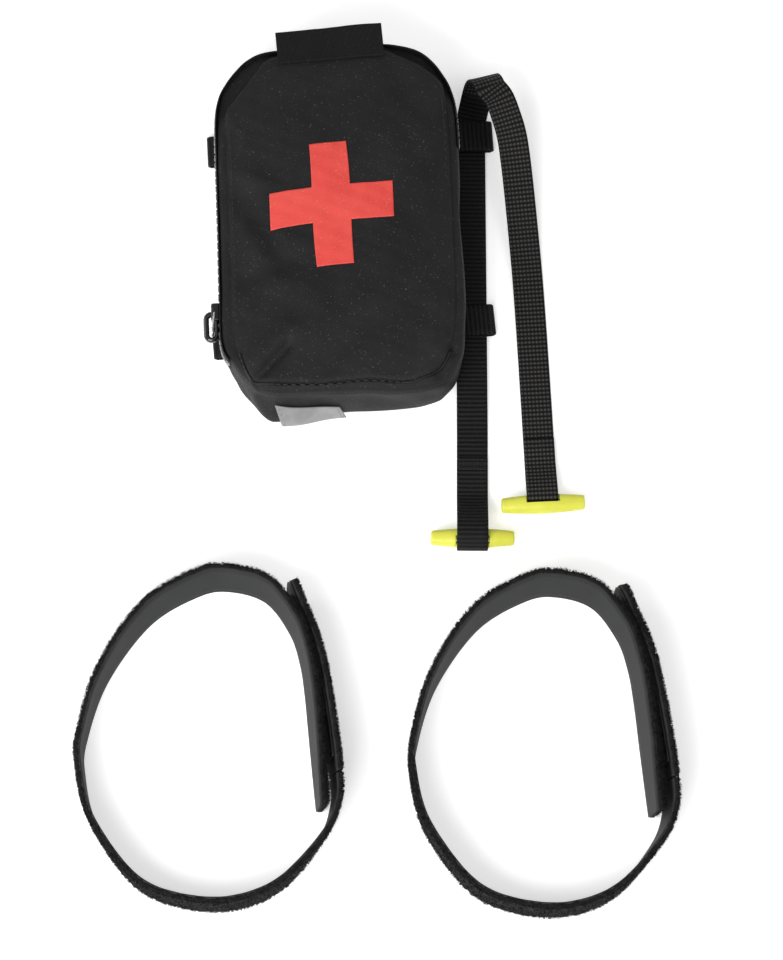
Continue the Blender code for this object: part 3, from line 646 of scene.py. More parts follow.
def panel_height(x, y):
    """Height of the front panel: a low crown, soft folds and a faint unevenness.

    The crown falls off with the fourth power of the distance from the middle. Each fold is
    a bell curve across its own line, faded out beyond the line's ends.
    """
    wide, long = x / PANEL_HALF[0], y / PANEL_HALF[1]
    height = PANEL_TOP - 0.0019 * np.clip(wide**4 + long**4, 0, 1.6) - 0.0010 * long**2
    for x0, y0, x1, y1, wide, high in FOLDS / 1000:
        line = np.array([x1 - x0, y1 - y0])
        length = math.hypot(*line)
        dx, dy = x - x0, y - y0
        along = (dx * line[0] + dy * line[1]) / length
        across = (dx * line[1] - dy * line[0]) / length
        beyond = np.maximum(0, np.maximum(-along, along - length))
        height = height + 2.2 * high * np.exp(-((across / wide) ** 2) - (beyond / (wide * 1.2)) ** 2)
    ripple = np.sin(x * 210 + 1.3 * np.sin(y * 130)) * np.sin(y * 165 + 1.1 * np.sin(x * 150 + 1))
    return height + 0.00022 * ripple + 0.00012 * np.sin(x * 520 + y * 330) * np.sin(y * 470 - x * 180)


def shell_rows(q):
    """The five main rings of the pouch at stations q: back seam, low belly, both zip edges and front seam."""
    s = at_stations(q)
    mid, panel, low = s[:, :2], s[:, 2:4], s[:, 4:]
    seam = low - unit(low) * 0.0052
    flat = lambda xy, z: np.column_stack([xy, np.broadcast_to(z, len(xy))])
    edge = flat(panel, panel_height(*panel.T) - 0.0009)
    return flat(seam, BACK_SEAM), flat(low, BELLY), flat(mid, ZIP_LOW), flat(mid, ZIP_HIGH), edge


def cornerness(q):
    """How far the front gusset is pushed in: 1 at the two top corners, 0 along the sides."""
    q = np.mod(np.asarray(q, float) + 4, STATION_COUNT) - 4
    bell = lambda middle, wide: np.exp(-(((q - middle) / wide) ** 4))
    return 0.9 * bell(5.0, 2.6) + 0.75 * bell(13.0, 2.2)


def shaped(rings, marks, at):
    """Points between rings on a Catmull-Rom curve through them; marks are the rings' parameters."""
    rings = np.stack(rings)
    ends = np.concatenate([2 * rings[:1] - rings[1:2], rings, 2 * rings[-1:] - rings[-2:-1]])
    k = np.clip(np.searchsorted(marks, at, side="right") - 1, 0, len(marks) - 2)
    u = (at - np.asarray(marks)[k]) / (np.asarray(marks)[k + 1] - np.asarray(marks)[k])
    return catmull(ends[k], ends[k + 1], ends[k + 2], ends[k + 3], u[:, None, None])


def wall_unevenness(points, q):
    """Pushes wall points in and out a little, by slow waves round the pouch and up its side."""
    z = points[..., 2]
    wave = np.sin(q * 2.1 + z * 160)
    wave = wave + 0.8 * np.sin(q * 3.7 - z * 230 + 1) + 0.6 * np.sin(q * 6.3 + z * 90 + 2)
    swell = 0.00028 * wave * np.sin(np.clip((z - BACK_SEAM) / 0.037, 0, 1) * math.pi)
    out = unit(points[..., :2])
    points[..., :2] += out * swell[..., None]
    return points


def upper_wall(q, rows):
    """The front gusset from the zip's upper edge to the front seam.

    It bulges along the sides, and is pushed in at the top corners so that the panel's edge
    stands over it.
    """
    _, _, _, top, edge = shell_rows(q)
    c = cornerness(q)[:, None]
    inward = edge[:, :2] - top[:, :2]
    middle = top[:, :2] + inward * (0.26 + 0.86 * c)
    height = top[:, 2:] + (edge[:, 2:] - top[:, 2:]) * (0.62 - 0.30 * c)
    half = np.column_stack([middle, height])
    return shaped([top, half, edge], (0, 1, 2), np.linspace(0, 2, rows))


def lower_wall(q, rows, top_ring=3):
    """The wall from the back seam up to the zip's lower edge, or on to its upper edge."""
    rings = shell_rows(q)[: top_ring + 1]
    marks = [0, 1, 2.4, 2.9][: top_ring + 1]
    return shaped(rings, marks, np.linspace(0, marks[-1], rows))


RIM_DROP = 0.0028


def rim_drop(q):
    """How much lower the panel's rim lies along both long sides, where it rolls over."""
    q = np.mod(q, STATION_COUNT)
    right = ramp(q, 14.2, 16.0) * (1 - ramp(q, 20.2, 21.6))
    left = ramp(q, 29.0, 30.4) + 1 - ramp(q, 1.6, 3.2)
    return RIM_DROP * np.clip(right + left, 0, 1)


def seam_groove(q):
    """Depth of the front seam below the panel: a stitched groove along the bottom, shallow elsewhere.

    Along the bottom the depth follows the size of a sine wave whose hump is one stitch long.
    """
    length = run_length(at_stations(q)[:, 2:4])
    q = np.mod(q, STATION_COUNT)
    plain = ramp(q, 20.3, 21.6) * (1 - ramp(q, 29.3, 30.2))
    return 0.0001 + plain * (0.0013 + 0.0009 * np.abs(np.sin(math.pi * length / 0.0033)))


def columns_between(first, last):
    """Numbers of the cloth's columns from one station to another."""
    return np.arange(int(round(first * STATION_STEPS)), int(round(last * STATION_STEPS)) + 1)


def front_cloth(sizes):
    """Front panel, front gusset and the plain wall as one cloth, with the zip's slot left open.

    The gusset's rings are followed by rings that shrink towards the panel's middle at the
    panel's height. The rim drops along the long sides, and the seam sinks into its groove.
    """
    columns = STATION_COUNT * STATION_STEPS
    q = np.arange(columns) / STATION_STEPS
    upper = wall_unevenness(upper_wall(q, 13), q)
    drop = rim_drop(q)
    upper[..., 2] -= drop * (np.linspace(0, 1, 13) ** 1.5)[:, None]
    edge = upper[-1]
    groove = seam_groove(q)
    upper[-1, :, 2] -= groove
    shares = np.concatenate([[0.992, 0.982, 0.965], np.linspace(0.94, 0.02, 44)])
    inner = edge[None, :, :2] * shares[:, None, None]
    inner = np.concatenate([inner, panel_height(inner[..., 0], inner[..., 1])[..., None]], axis=-1)
    inner[0, :, 2] -= groove * 0.25 + 0.00035 * (1 - drop / RIM_DROP)
    inner[..., 2] -= drop * (shares[:, None] - 0.70).clip(0) ** 2 / 0.09
    rows = np.concatenate([upper, inner])
    middle = np.array([[0, 0, panel_height(np.zeros(1), np.zeros(1))[0]]])
    last = (len(rows) - 1) * columns + np.arange(columns)
    fan = np.column_stack([np.full(columns, rows.size // 3), last, np.roll(last, -1)])
    # the plain wall below, between the zip's two ends
    plain = columns_between(ZIP_END, STATION_COUNT + ZIP_START)
    wall = wall_unevenness(lower_wall(q[plain], 22), q[plain])
    wall[-1] = upper[0][plain]
    points = np.vstack([rows.reshape(-1, 3), middle, wall.reshape(-1, 3)])
    skin = grid_faces(len(rows), columns, close_columns=True)[:, ::-1]
    wall_faces = grid_faces(22, len(plain))[:, ::-1] + rows.size // 3 + 1
    piece = put_mesh("front_cloth", to_kit(points), [skin, wall_faces, fan])
    outward(piece, merge=True)
    solidify(piece, sizes.cloth)
    bake(piece)
    fold_blend(piece)
    nodes = ("front_panel", "front_panel_fixed", "front_gusset", "plain_gusset")
    return settle(piece, looks()["cloth"], None, nodes)


def back_cloth(sizes):
    """Back panel and the zipped wall below the zip, as one cloth: rings that grow to the back seam."""
    columns = STATION_COUNT * STATION_STEPS
    q = np.arange(columns) / STATION_STEPS
    seam = shell_rows(q)[0]
    shares = np.concatenate([np.linspace(0.02, 0.95, 24), [0.985]])
    inner = seam[None, :, :2] * shares[:, None, None]
    inner = np.concatenate([inner, np.full((len(shares), columns, 1), BACK_HEIGHT)], axis=-1)
    rows = np.concatenate([inner, seam[None]])
    first = np.arange(columns)
    fan = np.column_stack([first, np.roll(first, -1), np.full(columns, rows.size // 3)])
    zipped = columns_between(ZIP_START, ZIP_END) / STATION_STEPS
    wall = wall_unevenness(lower_wall(zipped, 18, 2), zipped)
    points = np.vstack([rows.reshape(-1, 3), [[0, 0, BACK_HEIGHT]], wall.reshape(-1, 3)])
    skin = grid_faces(len(rows), columns, close_columns=True)
    wall_faces = grid_faces(18, len(zipped)) + rows.size // 3 + 1
    piece = put_mesh("back_cloth", to_kit(points), [skin, fan, wall_faces])
    outward(piece, merge=True)
    solidify(piece, sizes.cloth)
    bake(piece)
    return settle(piece, looks()["cloth"], "pouch", ("back_panel", "back_gusset"))


def cross_lines(half, arm, step=0.0006):
    """Grid lines along one side of a cross, with lines exactly on its arms' edges."""
    outer, inner = int((half - arm) / step), int(2 * arm / step)
    ends = np.linspace(arm, half, outer)
    return np.unique(np.concatenate([-ends[::-1], np.linspace(-arm, arm, inner), ends]))


def cross_print(sizes):
    """The printed cross: a fine grid cut to a cross of equal arms, lying on the panel."""
    w, h = sizes.cross_width / 2, sizes.cross_height / 2
    a = sizes.cross_arm / 2
    x, y = cross_lines(w, a), cross_lines(h, a)
    gx, gy = np.meshgrid(x, y, indexing="ij")
    # the arms bow with the cloth: a slow bend of each coordinate by the other
    bx = gx - 0.0012 * (gy / h) ** 2 * np.sign(gx) * 0.3 + 0.0006 * np.sin(gy * 70)
    by = gy - 0.0016 * (gx / w) ** 2 * (0.4 + 0.6 * (gx < 0)) + 0.02 * gx
    px, py = turned_spot(bx, by, sizes.cross_x, sizes.cross_y, sizes.cross_yaw)
    points = np.stack([px, py, panel_height(px, py) + 0.00022], axis=-1)
    faces = grid_faces(len(x), len(y))
    middle = np.stack([gx, gy], -1).reshape(-1, 2)[faces].mean(axis=1)
    inside = (np.abs(middle[:, 0]) < a) | (np.abs(middle[:, 1]) < a)
    piece = put_mesh("cross_print", to_kit(points), [faces[inside]])
    solidify(piece, 0.00018)
    bake(piece)
    fold_blend(piece)
    return settle(piece, looks()["red"], None, ("red_cross",))


def turned_spot(x, y, at_x, at_y, yaw):
    """Flat coordinates turned by yaw and moved to a place on the panel."""
    c, s = math.cos(yaw), math.sin(yaw)
    return at_x + x * c - y * s, at_y + x * s + y * c


def fabric_strip(name, middle, across, width, thickness, rib, rib_depth, edge=0.00035):
    """A flat woven strip along a path: a rounded section with cross ribs, and lengths in its UV map.

    The half thickness swells by rib_depth at every rib pitch; the section's corners are
    rounded by edge, and both ends are closed.
    """
    middle = np.asarray(middle, float)
    along = unit(np.gradient(middle, axis=0))
    across = np.asarray(across, float)
    across = unit(across - along * np.sum(across * along, axis=1, keepdims=True))
    face = np.cross(across, along)
    run = run_length(middle)
    half = width / 2
    inside = np.linspace(-1, 1, 9) * (half - edge)
    a = np.concatenate([inside, [half - edge * 0.2, half], inside[::-1], [-half + edge * 0.2, -half]])
    b = np.concatenate([np.full(9, 1.0), [0.72, 0.0], np.full(9, -1.0), [-0.72, 0.0]])
    swell = thickness / 2 + rib_depth * np.sin(run * 2 * math.pi / rib)
    points = middle[:, None] + across[:, None] * a[None, :, None]
    points = points + face[:, None] * (b[None, :] * swell[:, None])[..., None]
    uv = np.stack([np.repeat(run[:, None], len(a), 1), np.repeat(a[None], len(run), 0)], axis=-1)
    return outward(put_mesh(name, points, loft_faces(len(middle), len(a)), uv.reshape(-1, 2)))


def refine(path, across, step):
    """A path and its sideways directions read again at even short steps."""
    both = np.hstack([path, across])
    run = run_length(path)
    at = np.linspace(0, run[-1], int(run[-1] / step) + 2)
    read = np.column_stack([np.interp(at, run, both[:, k]) for k in range(6)])
    for _ in range(2):  # round off the corners of the coarse path
        read[1:-1] = (read[:-2] + 2 * read[1:-1] + read[2:]) / 4
    return read[:, :3], read[:, 3:]


def stitches(name, places, axes, look, length=0.0022, radius=0.00022):
    """A row of thread stitches: short capsules lying along the first of each place's axes."""
    shape, faces = capsule(length, radius, 6, 2)
    points, faces = repeated(places, axes, shape, faces)
    piece = put_mesh(name, points, faces)
    piece.data.materials.append(look)
    return piece


def seam_axes(places):
    """For each place of a row: a direction along it, a level one across it, and one square to both."""
    along = unit(np.gradient(places, axis=0))
    side = unit(np.cross(np.tile([0.0, 0.0, 1.0], (len(along), 1)), along))
    return np.stack([along, side, np.cross(along, side)], axis=1)


# ---------------------------------------------------------------- zip
def zip_points(count, height, out=0.0):
    """Evenly spaced points along the zip's middle line, with their along and outward directions."""
    q = np.linspace(ZIP_START, ZIP_END, 1200)
    xy = at_stations(q)[:, :2]
    path = even(np.column_stack([xy, q]), count)
    line = at_stations(path[:, 2])[:, :2]
    along = unit(np.gradient(line, axis=0))
    outwards = np.column_stack([-along[:, 1], along[:, 0]])
    flat = lambda v, z: np.column_stack([v, np.full(len(v), z)])
    return flat(line + outwards * out, height), flat(along, 0.0), flat(outwards, 0.0)


def zip_coils(sizes):
    """Both coils: slanted round turns, those of one side between those of the other."""
    length = run_length(zip_points(1200, ZIP_HEIGHT)[0])[-1]
    spots = int(length / sizes.coil_pitch) * 2 + 1
    shape, faces = capsule(0.0044, 0.00070, 8, 3)
    for name, side, first, body in (("back", -1, 2, "pouch"), ("front", 1, 3, "lid")):
        places, along, out = (row[first:-2:2] for row in zip_points(spots, ZIP_HEIGHT, 0.0004))
        places = places + np.array([0, 0, side * 0.00105])
        lean = unit(np.array([0, 0, 1.0]) * side + along * 0.30 + out * -0.06)
        third = unit(np.cross(lean, out))
        axes = np.stack([lean, third, np.cross(lean, third)], axis=1)
        points, quads = repeated(to_kit(places), turned(axes), shape, faces)
        piece = put_mesh("coil_" + name, points, quads)
        settle_side(piece, looks()["coil"], body, "zip_coil_" + name)


def zip_tapes():
    """The woven tapes behind the coils: upright strips along the zip, one on each side of it."""
    q = np.linspace(ZIP_START - 0.05, ZIP_END + 0.05, 420)
    line = at_stations(q)[:, :2]
    along = unit(np.gradient(line, axis=0))
    inward = np.column_stack([along[:, 1], -along[:, 0]])
    depth = -0.0005 + 0.0002 * np.abs(np.linspace(-1, 1, 7))
    run = run_length(line)
    for name, low, high, body in (("back", 0.0225, 0.0284, "pouch"), ("front", 0.0296, 0.0352, "lid")):
        levels = np.linspace(low, high, 7)
        rows = [np.column_stack([line + inward * d, np.full(len(q), z)]) for d, z in zip(depth, levels)]
        uv = np.stack([np.repeat(run[None], 7, 0), np.repeat(levels[:, None], len(q), 1)], axis=-1)
        faces = [grid_faces(7, len(q))[:, ::-1]]
        piece = put_mesh("tape_" + name, to_kit(np.stack(rows)), faces, uv.reshape(-1, 2))
        solidify(piece, 0.0006)
        bake(piece)
        settle_side(piece, looks()["tape"], body, "zip_tape_" + name)


def zip_stops():
    """Small rounded blocks that close the zip's two ends."""
    for name, q in (("stop_lower", ZIP_START + 0.02), ("stop_upper", ZIP_END - 0.02)):
        xy = at_stations([q])[0, :2]
        ahead = unit(at_stations([q + 0.05])[0, :2] - at_stations([q - 0.05])[0, :2])
        shape, faces = capsule(0.0062, 0.0013, 12, 4, 0.8)
        axes = np.array([[[0, 0, 1.0], [*ahead, 0], [ahead[1], -ahead[0], 0]]])
        points, quads = repeated(to_kit([[*xy, ZIP_HEIGHT]]), turned(axes), shape, faces)
        piece = put_mesh(name, points, quads)
        # the stops take the coils' grey look, which is painted highlight
        settle(outward(piece), looks()["coil"], "pouch", ("zip_" + name,))


def topstitching():
    """Stitches on the panel inside the zip, on both long sides, and thick black stitches in the groove of the
    bottom seam, partly thread and partly painted shade of the groove.
    """
    for name, first, last in (("topstitch_left", -1.9, 2.0), ("topstitch_right", 15.2, 17.4)):
        q = np.linspace(first, last, 600)
        edge = at_stations(q)[:, 2:4]
        path = even(np.column_stack([edge, q]), int(np.linalg.norm(edge[0] - edge[-1]) / 0.0032))
        spots = path[:, :2] * np.array([0.962, 0.985])
        places = np.column_stack([spots, panel_height(*spots.T) + 0.00005])
        piece = stitches(name, to_kit(places), turned(seam_axes(places)), looks()["thread"])
        fold_blend(piece)
    # bottom seam: thick black stitches, partly real thread and partly painted shade of the seam's groove
    q = np.linspace(21.2, 29.9, 900)
    path = even(np.column_stack([at_stations(q)[:, 2:4], q]), 42)
    seam = at_stations(path[:, 2])[:, 2:4]
    seam = seam + unit(seam) * 0.0002
    places = np.column_stack([seam, panel_height(*seam.T) - 0.0014])
    axes = turned(seam_axes(places))
    fold_blend(stitches("seam_stitches", to_kit(places), axes, looks()["thread"], 0.0026, 0.0005))


# ---------------------------------------------------------------- labels
LABEL_SEAM = 0.0834  # where the label is sewn down, along the pouch
LABEL_REST = 0.0862  # the label lies on the panel up to here, and stands out past it
LABEL_BEND = 0.0006


def folded_label(sizes):
    """The label at the top: a strip folded over its upper edge, sewn down at its lower edge.

    Its side view runs up from the seam, round a half circle at the far edge and back below.
    """
    w, reach = sizes.label_width / 2, sizes.label_height
    x = np.linspace(-w, w, 60)
    turn = np.linspace(0, math.pi, 10)[1:-1]
    round_edge = reach + LABEL_BEND * np.sin(turn)
    up = np.concatenate([np.linspace(0, reach, 18), round_edge, np.linspace(reach, 0.0012, 18)])
    lift = LABEL_BEND * np.concatenate([np.full(18, 1.0), np.cos(turn), np.full(18, -1.0)])
    gx, gu = np.meshgrid(x, up, indexing="ij")
    px, py = turned_spot(gx, gu, sizes.label_x, LABEL_SEAM, sizes.label_yaw)
    z = panel_height(px, np.minimum(py, LABEL_REST)) + 0.0008 + lift[None]
    z = z - 0.05 * gu + 0.0006 * np.sin(gx * 90) * gu / reach
    run = run_length(np.column_stack([up, lift]))
    uv = np.stack([gx, np.repeat(run[None], len(x), 0)], axis=-1).reshape(-1, 2)
    piece = put_mesh("folded_label", to_kit(np.stack([px, py, z], axis=-1)), [grid_faces(*gx.shape)], uv)
    outward(piece)
    solidify(piece, 0.00045, 0.0)
    bake(piece)
    return settle(piece, looks()["label"], "lid", ("label",))


TAB_TOP, TAB_TOP_SLOPE, TAB_LOW = 0.0190, 0.0022, 0.0085


def reflective_tab(sizes):
    """The grey tab under the bottom edge: a sheet that follows the wall down, with a stitched border."""
    w, columns = sizes.tab_width / 2, 40
    gx, gv = np.meshgrid(np.linspace(-w, w, columns), np.linspace(0, 1, 14), indexing="ij")
    top = TAB_TOP + TAB_TOP_SLOPE * (w - gx) / w
    z = top + (TAB_LOW - top) * gv
    # the wall's stations behind the tab, and the wall's places at the tab's heights
    q = np.interp(gx[:, 0] + sizes.tab_x, (-0.040, -0.028, -0.010, 0.008), (28, 27, 26, 25))
    wall = lower_wall(q, 60)
    wall_y = np.array([np.interp(z[i], wall[:, i, 2], wall[:, i, 1]) for i in range(columns)])
    x = gx + sizes.tab_x + 0.0030 * gv
    points = np.stack([x, wall_y - 0.0010 - sizes.tab_depth * gv**2, z], axis=-1)
    piece = put_mesh("reflective_flap", to_kit(points), [grid_faces(columns, 14)])
    outward(piece)
    solidify(piece, 0.0006, 0.0)
    bake(piece)
    settle(piece, looks()["reflective"], "pouch", ("reflective_tab",))
    down = range(2, 12, 3)
    row = [(i, 12) for i in range(3, 38, 3)] + [(2, j) for j in down] + [(37, j) for j in down]
    places = np.array([points[spot] for spot in row]) + [0, 0, 0.00035]
    along = np.array([[1, 0, 0]] * 12 + [[0, -1, 0]] * 8, float)
    side = np.array([[0, 1, 0]] * 12 + [[1, 0, 0]] * 8, float)
    axes = turned(np.stack([along, side, np.cross(along, side)], axis=1))
    thread = looks()["grey_thread"]
    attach(stitches("tab_stitches", to_kit(places), axes, thread, 0.0018, 0.00018), "pouch")


# ---------------------------------------------------------------- back straps
def back_straps():
    """Webbing across the back that turns up into a stub on the left and a loop on the right.

    The side view is two half circles joined by the straight run under the back.
    """
    width, reach, rise, slack = 0.0155, 0.0052, 0.0036, 0.0012
    low = WEBBING / 2
    side = 0.0540
    for name, (at, slope) in BACK_STRAPS.items():
        turn_left = -POUCH_HALF_WIDTH - reach + rise / 2
        edge = STRAP_LEFT_X + STRAP_WIDTH / 2 - POUCH_PLACE[0]
        far = at + slope * edge + width / 2
        turn_right = edge / math.cos(POUCH_YAW) + far * math.tan(POUCH_YAW) + slack
        angle = np.linspace(0, math.pi, 15)
        left = np.column_stack([turn_left - rise / 2 * np.sin(angle), low + rise / 2 * (1 + np.cos(angle))])
        right = np.column_stack([turn_right + rise / 2 * np.sin(angle), low + rise / 2 * (1 - np.cos(angle))])
        run = np.vstack([[(-side, low + rise)], left, right, [(side, low + rise)]])
        middle = np.column_stack([run[:, 0], at + slope * run[:, 0], run[:, 1]])
        across = np.tile((slope, -1.0, 0.0), (len(run), 1))
        middle, across = refine(to_kit(middle), turned(across), 0.0006)
        middle[:, 2] = np.maximum(middle[:, 2], low + 0.0001)
        piece = fabric_strip("back_strap_" + name, middle, across, width, WEBBING, 0.0018, 0.00006)
        settle(piece, looks()["webbing"], "pouch", ("webbing_" + name,))


# ---------------------------------------------------------------- toggle strap
BARREL_HEIGHT = TOGGLE_RADIUS + 0.0001
EYE = TOGGLE_BAR + GAP + WEBBING / 2
BAR_AT = TOGGLE_RADIUS - TOGGLE_BAR
SLOT_FACE = BAR_AT - EYE - WEBBING / 2 - GAP
LAYERS = WEBBING + GAP


def turtle(start, heading, moves, step=0.0003):
    """A flat path of straight runs (length,) and bends (radius, degrees; left is positive)."""
    points, at, turn = [np.array(start)], np.array(start, float), math.radians(heading)
    for move in moves:
        if len(move) == 1:
            at = at + move[0] * np.array([math.cos(turn), math.sin(turn)])
            points.append(at)
            continue
        radius, bend = move[0], math.radians(move[1])
        side = math.copysign(1, bend)
        centre = at + side * radius * np.array([-math.sin(turn), math.cos(turn)])
        angles = turn + bend * np.linspace(0, 1, max(5, int(abs(bend) * radius / step)))[1:]
        arc = centre - side * radius * np.column_stack([-np.sin(angles), np.cos(angles)])
        points += list(arc)
        at, turn = arc[-1], turn + bend
    return np.array(points)


def ease(start, end, low, high, count):
    """A run that settles from one height to another, flat at both ends."""
    u = np.linspace(0, 1, count)
    return np.column_stack([start + (end - start) * u, high + (low - high) * (3 * u**2 - 2 * u**3)])


def offset(path, distance):
    """The flat path shifted to its left."""
    along = unit(np.gradient(path, axis=0))
    return path + distance * np.column_stack([-along[:, 1], along[:, 0]])


def left_profile():
    """The left end, as distance from the barrel and height: over the barrel, round its bar and back."""
    lip = np.array([-SLOT_FACE, BARREL_HEIGHT + math.sqrt(TOGGLE_RADIUS**2 - SLOT_FACE**2)])
    bar = np.array([-BAR_AT, BARREL_HEIGHT])
    small = GAP + WEBBING / 2
    large = small + LAYERS
    gap = lip - bar
    slope = math.atan2(gap[1], gap[0]) + math.asin((large - EYE) / np.linalg.norm(gap))
    straight = math.sqrt(gap @ gap - (large - EYE) ** 2)
    bend = math.degrees(slope)
    moves = [(large, bend), (straight,), (EYE, 270 - bend), (gap[1],), (small, -90)]
    round_bar = turtle((lip[0], lip[1] + large), 180, moves)
    down = ease(lip[0] + WEBBING, lip[0] + 0.024, STRAP_ON_TABLE, lip[1] + small, 14)
    lower = np.vstack([down, [[DOUBLED_LEFT, STRAP_ON_TABLE]]])
    return np.vstack([offset(lower, LAYERS)[::-1], round_bar, lower])


def right_profile():
    """The right end in the same terms, from the table round the bar to the sewn tip."""
    under = ease(BAR_AT + GAP, BAR_AT + 0.014, STRAP_ON_TABLE, BARREL_HEIGHT - EYE, 9)
    above = ease(BAR_AT + GAP, BAR_AT + 0.020, STRAP_ON_TABLE + LAYERS, BARREL_HEIGHT + EYE, 11)
    eye = turtle((BAR_AT, BARREL_HEIGHT - EYE), 180, [(EYE, -180)])
    tip = [[DOUBLED_RIGHT, STRAP_ON_TABLE + LAYERS]]
    return np.vstack([[[DOUBLED_RIGHT, STRAP_ON_TABLE]], under[::-1], eye, above, tip])


def arch():
    """The strap turning over on itself: a half turn of a coarse screw round a level axis."""
    axis = np.array([math.cos(ARCH_LEAD), math.sin(ARCH_LEAD), 0])
    ahead = np.array([-math.sin(ARCH_LEAD), math.cos(ARCH_LEAD), 0])
    up = np.array([0, 0, 1.0])
    start = np.array([STRAP_LEFT_X, ARCH_START, STRAP_IN_LOOPS])
    turn = np.linspace(0, math.pi, 33)[:, None]
    middle = start + axis * ARCH_RADIUS * turn * math.tan(ARCH_LEAD) + ahead * ARCH_RADIUS * np.sin(turn)
    middle = middle + up * ARCH_RADIUS * (1 - np.cos(turn))
    round_axis = ahead * np.cos(turn) + up * np.sin(turn)
    return middle, axis * math.cos(ARCH_LEAD) - round_axis * math.sin(ARCH_LEAD)


def level_across(path):
    """Level directions square to the path, on its right."""
    along = np.gradient(path, axis=0)
    return unit(np.column_stack([along[:, 1], -along[:, 0], np.zeros(len(path))]))


def strap_ends():
    """For each end: the toggle's place and the level direction from it along the strap."""
    to_left = unit(np.array([STRAP_LEFT_X, STRAP_RISES[0]]) - TOGGLE_LEFT)
    to_right = unit(np.array(STRAP_RIGHT[-1][:2]) - TOGGLE_RIGHT)
    return (TOGGLE_LEFT, to_left), (TOGGLE_RIGHT, to_right)


def strap_route():
    """The whole strap's middle line and sideways directions."""
    (left, to_left), (right, to_right) = strap_ends()
    first, last = left_profile(), right_profile()
    start = np.column_stack([left + first[:, :1] * to_left, first[:, 1]])
    end = np.column_stack([right + last[:, :1] * to_right, last[:, 1]])
    over, over_across = arch()
    rises = [
        start[-1],
        (STRAP_LEFT_X, STRAP_RISES[0], STRAP_ON_TABLE),
        (STRAP_LEFT_X, STRAP_RISES[1], STRAP_IN_LOOPS),
        (STRAP_LEFT_X, (STRAP_RISES[1] + ARCH_START) / 2, STRAP_IN_LOOPS),
        over[0],
    ]
    leg = smooth(rises, 60)[1:-1]
    back = smooth([over[-1], *STRAP_RIGHT, end[0]], 90)[1:-1]
    for run in (leg, back):
        run[:, 2] = np.maximum(run[:, 2], STRAP_ON_TABLE)
    middle = np.vstack([start, leg, over, back, end])
    middle[:, 0] += ARCH_SHIFT * ramp(middle[:, 1], ARCH_SHIFT_FROM, ARCH_SHIFT_TO)
    sides = np.vstack([
        np.tile((to_left[1], -to_left[0], 0), (len(start), 1)),
        level_across(np.vstack([start[-1:], leg, over[:1]]))[1:-1],
        over_across,
        -level_across(np.vstack([over[-1:], back, end[:1]]))[1:-1],
        np.tile((to_right[1], -to_right[0], 0), (len(end), 1)),
    ])
    return middle, sides


def toggle_strap(sizes):
    """One length of webbing: both doubled ends, the leg through the loops, the arch and the return."""
    middle, across = refine(*strap_route(), 0.0005)
    thickness = WEBBING - 0.0001
    piece = fabric_strip("strap_cloth", middle, across, STRAP_WIDTH, thickness, sizes.strap_rib, 0.00009)
    return settle(piece, looks()["strap"], "strap", ("strap_webbing",))


def end_stitches():
    """Rows of thread across the strap where its doubled ends are sewn down."""
    for name, (place, along), tip in zip(("left", "right"), strap_ends(), (DOUBLED_LEFT, DOUBLED_RIGHT)):
        across = np.array([along[1], -along[0]])
        from_tip = (0.0022, 0.0040, 0.0058) if name == "left" else (0.0020, 0.0042)
        reach, share = np.meshgrid(tip - np.array(from_tip), np.linspace(-0.0058, 0.0058, 8), indexing="ij")
        flat = place + along * reach.reshape(-1, 1) + across * share.reshape(-1, 1)
        height = STRAP_ON_TABLE + LAYERS + WEBBING / 2 + 0.00005
        spots = np.column_stack([flat, np.full(len(flat), height)])
        axes = np.tile([[*across, 0], [*along, 0], [0, 0, -1]], (len(flat), 1, 1))
        thread = looks()["thread"]
        piece = stitches("end_stitches_" + name, spots, axes, thread, 0.00135, 0.0002)
        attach(piece, "strap")


# ---------------------------------------------------------------- toggles
def solid_from(name, rows):
    """A closed lofted solid through rings of points."""
    rows = np.asarray(rows)
    return outward(put_mesh(name, rows, loft_faces(*rows.shape[:2])))


def prism(name, corners, low, high):
    """An upright block over flat corners."""
    return solid_from(name, [[(*corner, z) for corner in corners] for z in (low, high)])


def cut_with(piece, tool, operation="DIFFERENCE"):
    """Cuts a piece with a tool, or joins the tool to it, and removes the tool."""
    change = piece.modifiers.new(operation.lower(), "BOOLEAN")
    change.operation, change.object, change.solver = operation, tool, "EXACT"
    bake(piece)
    bpy.data.objects.remove(tool, do_unlink=True)


def soften(piece, width, segments, sharper_than=None):
    """Rounds a piece's edges, or only those that turn by more than an angle."""
    change = piece.modifiers.new("edges", "BEVEL")
    change.width, change.segments = width, segments
    if sharper_than:
        change.limit_method, change.angle_limit = "ANGLE", sharper_than
    bake(piece)


TOGGLE_FILLET, TOGGLE_SQUARENESS, TOGGLE_SIDES = 0.0011, 2.35, 64


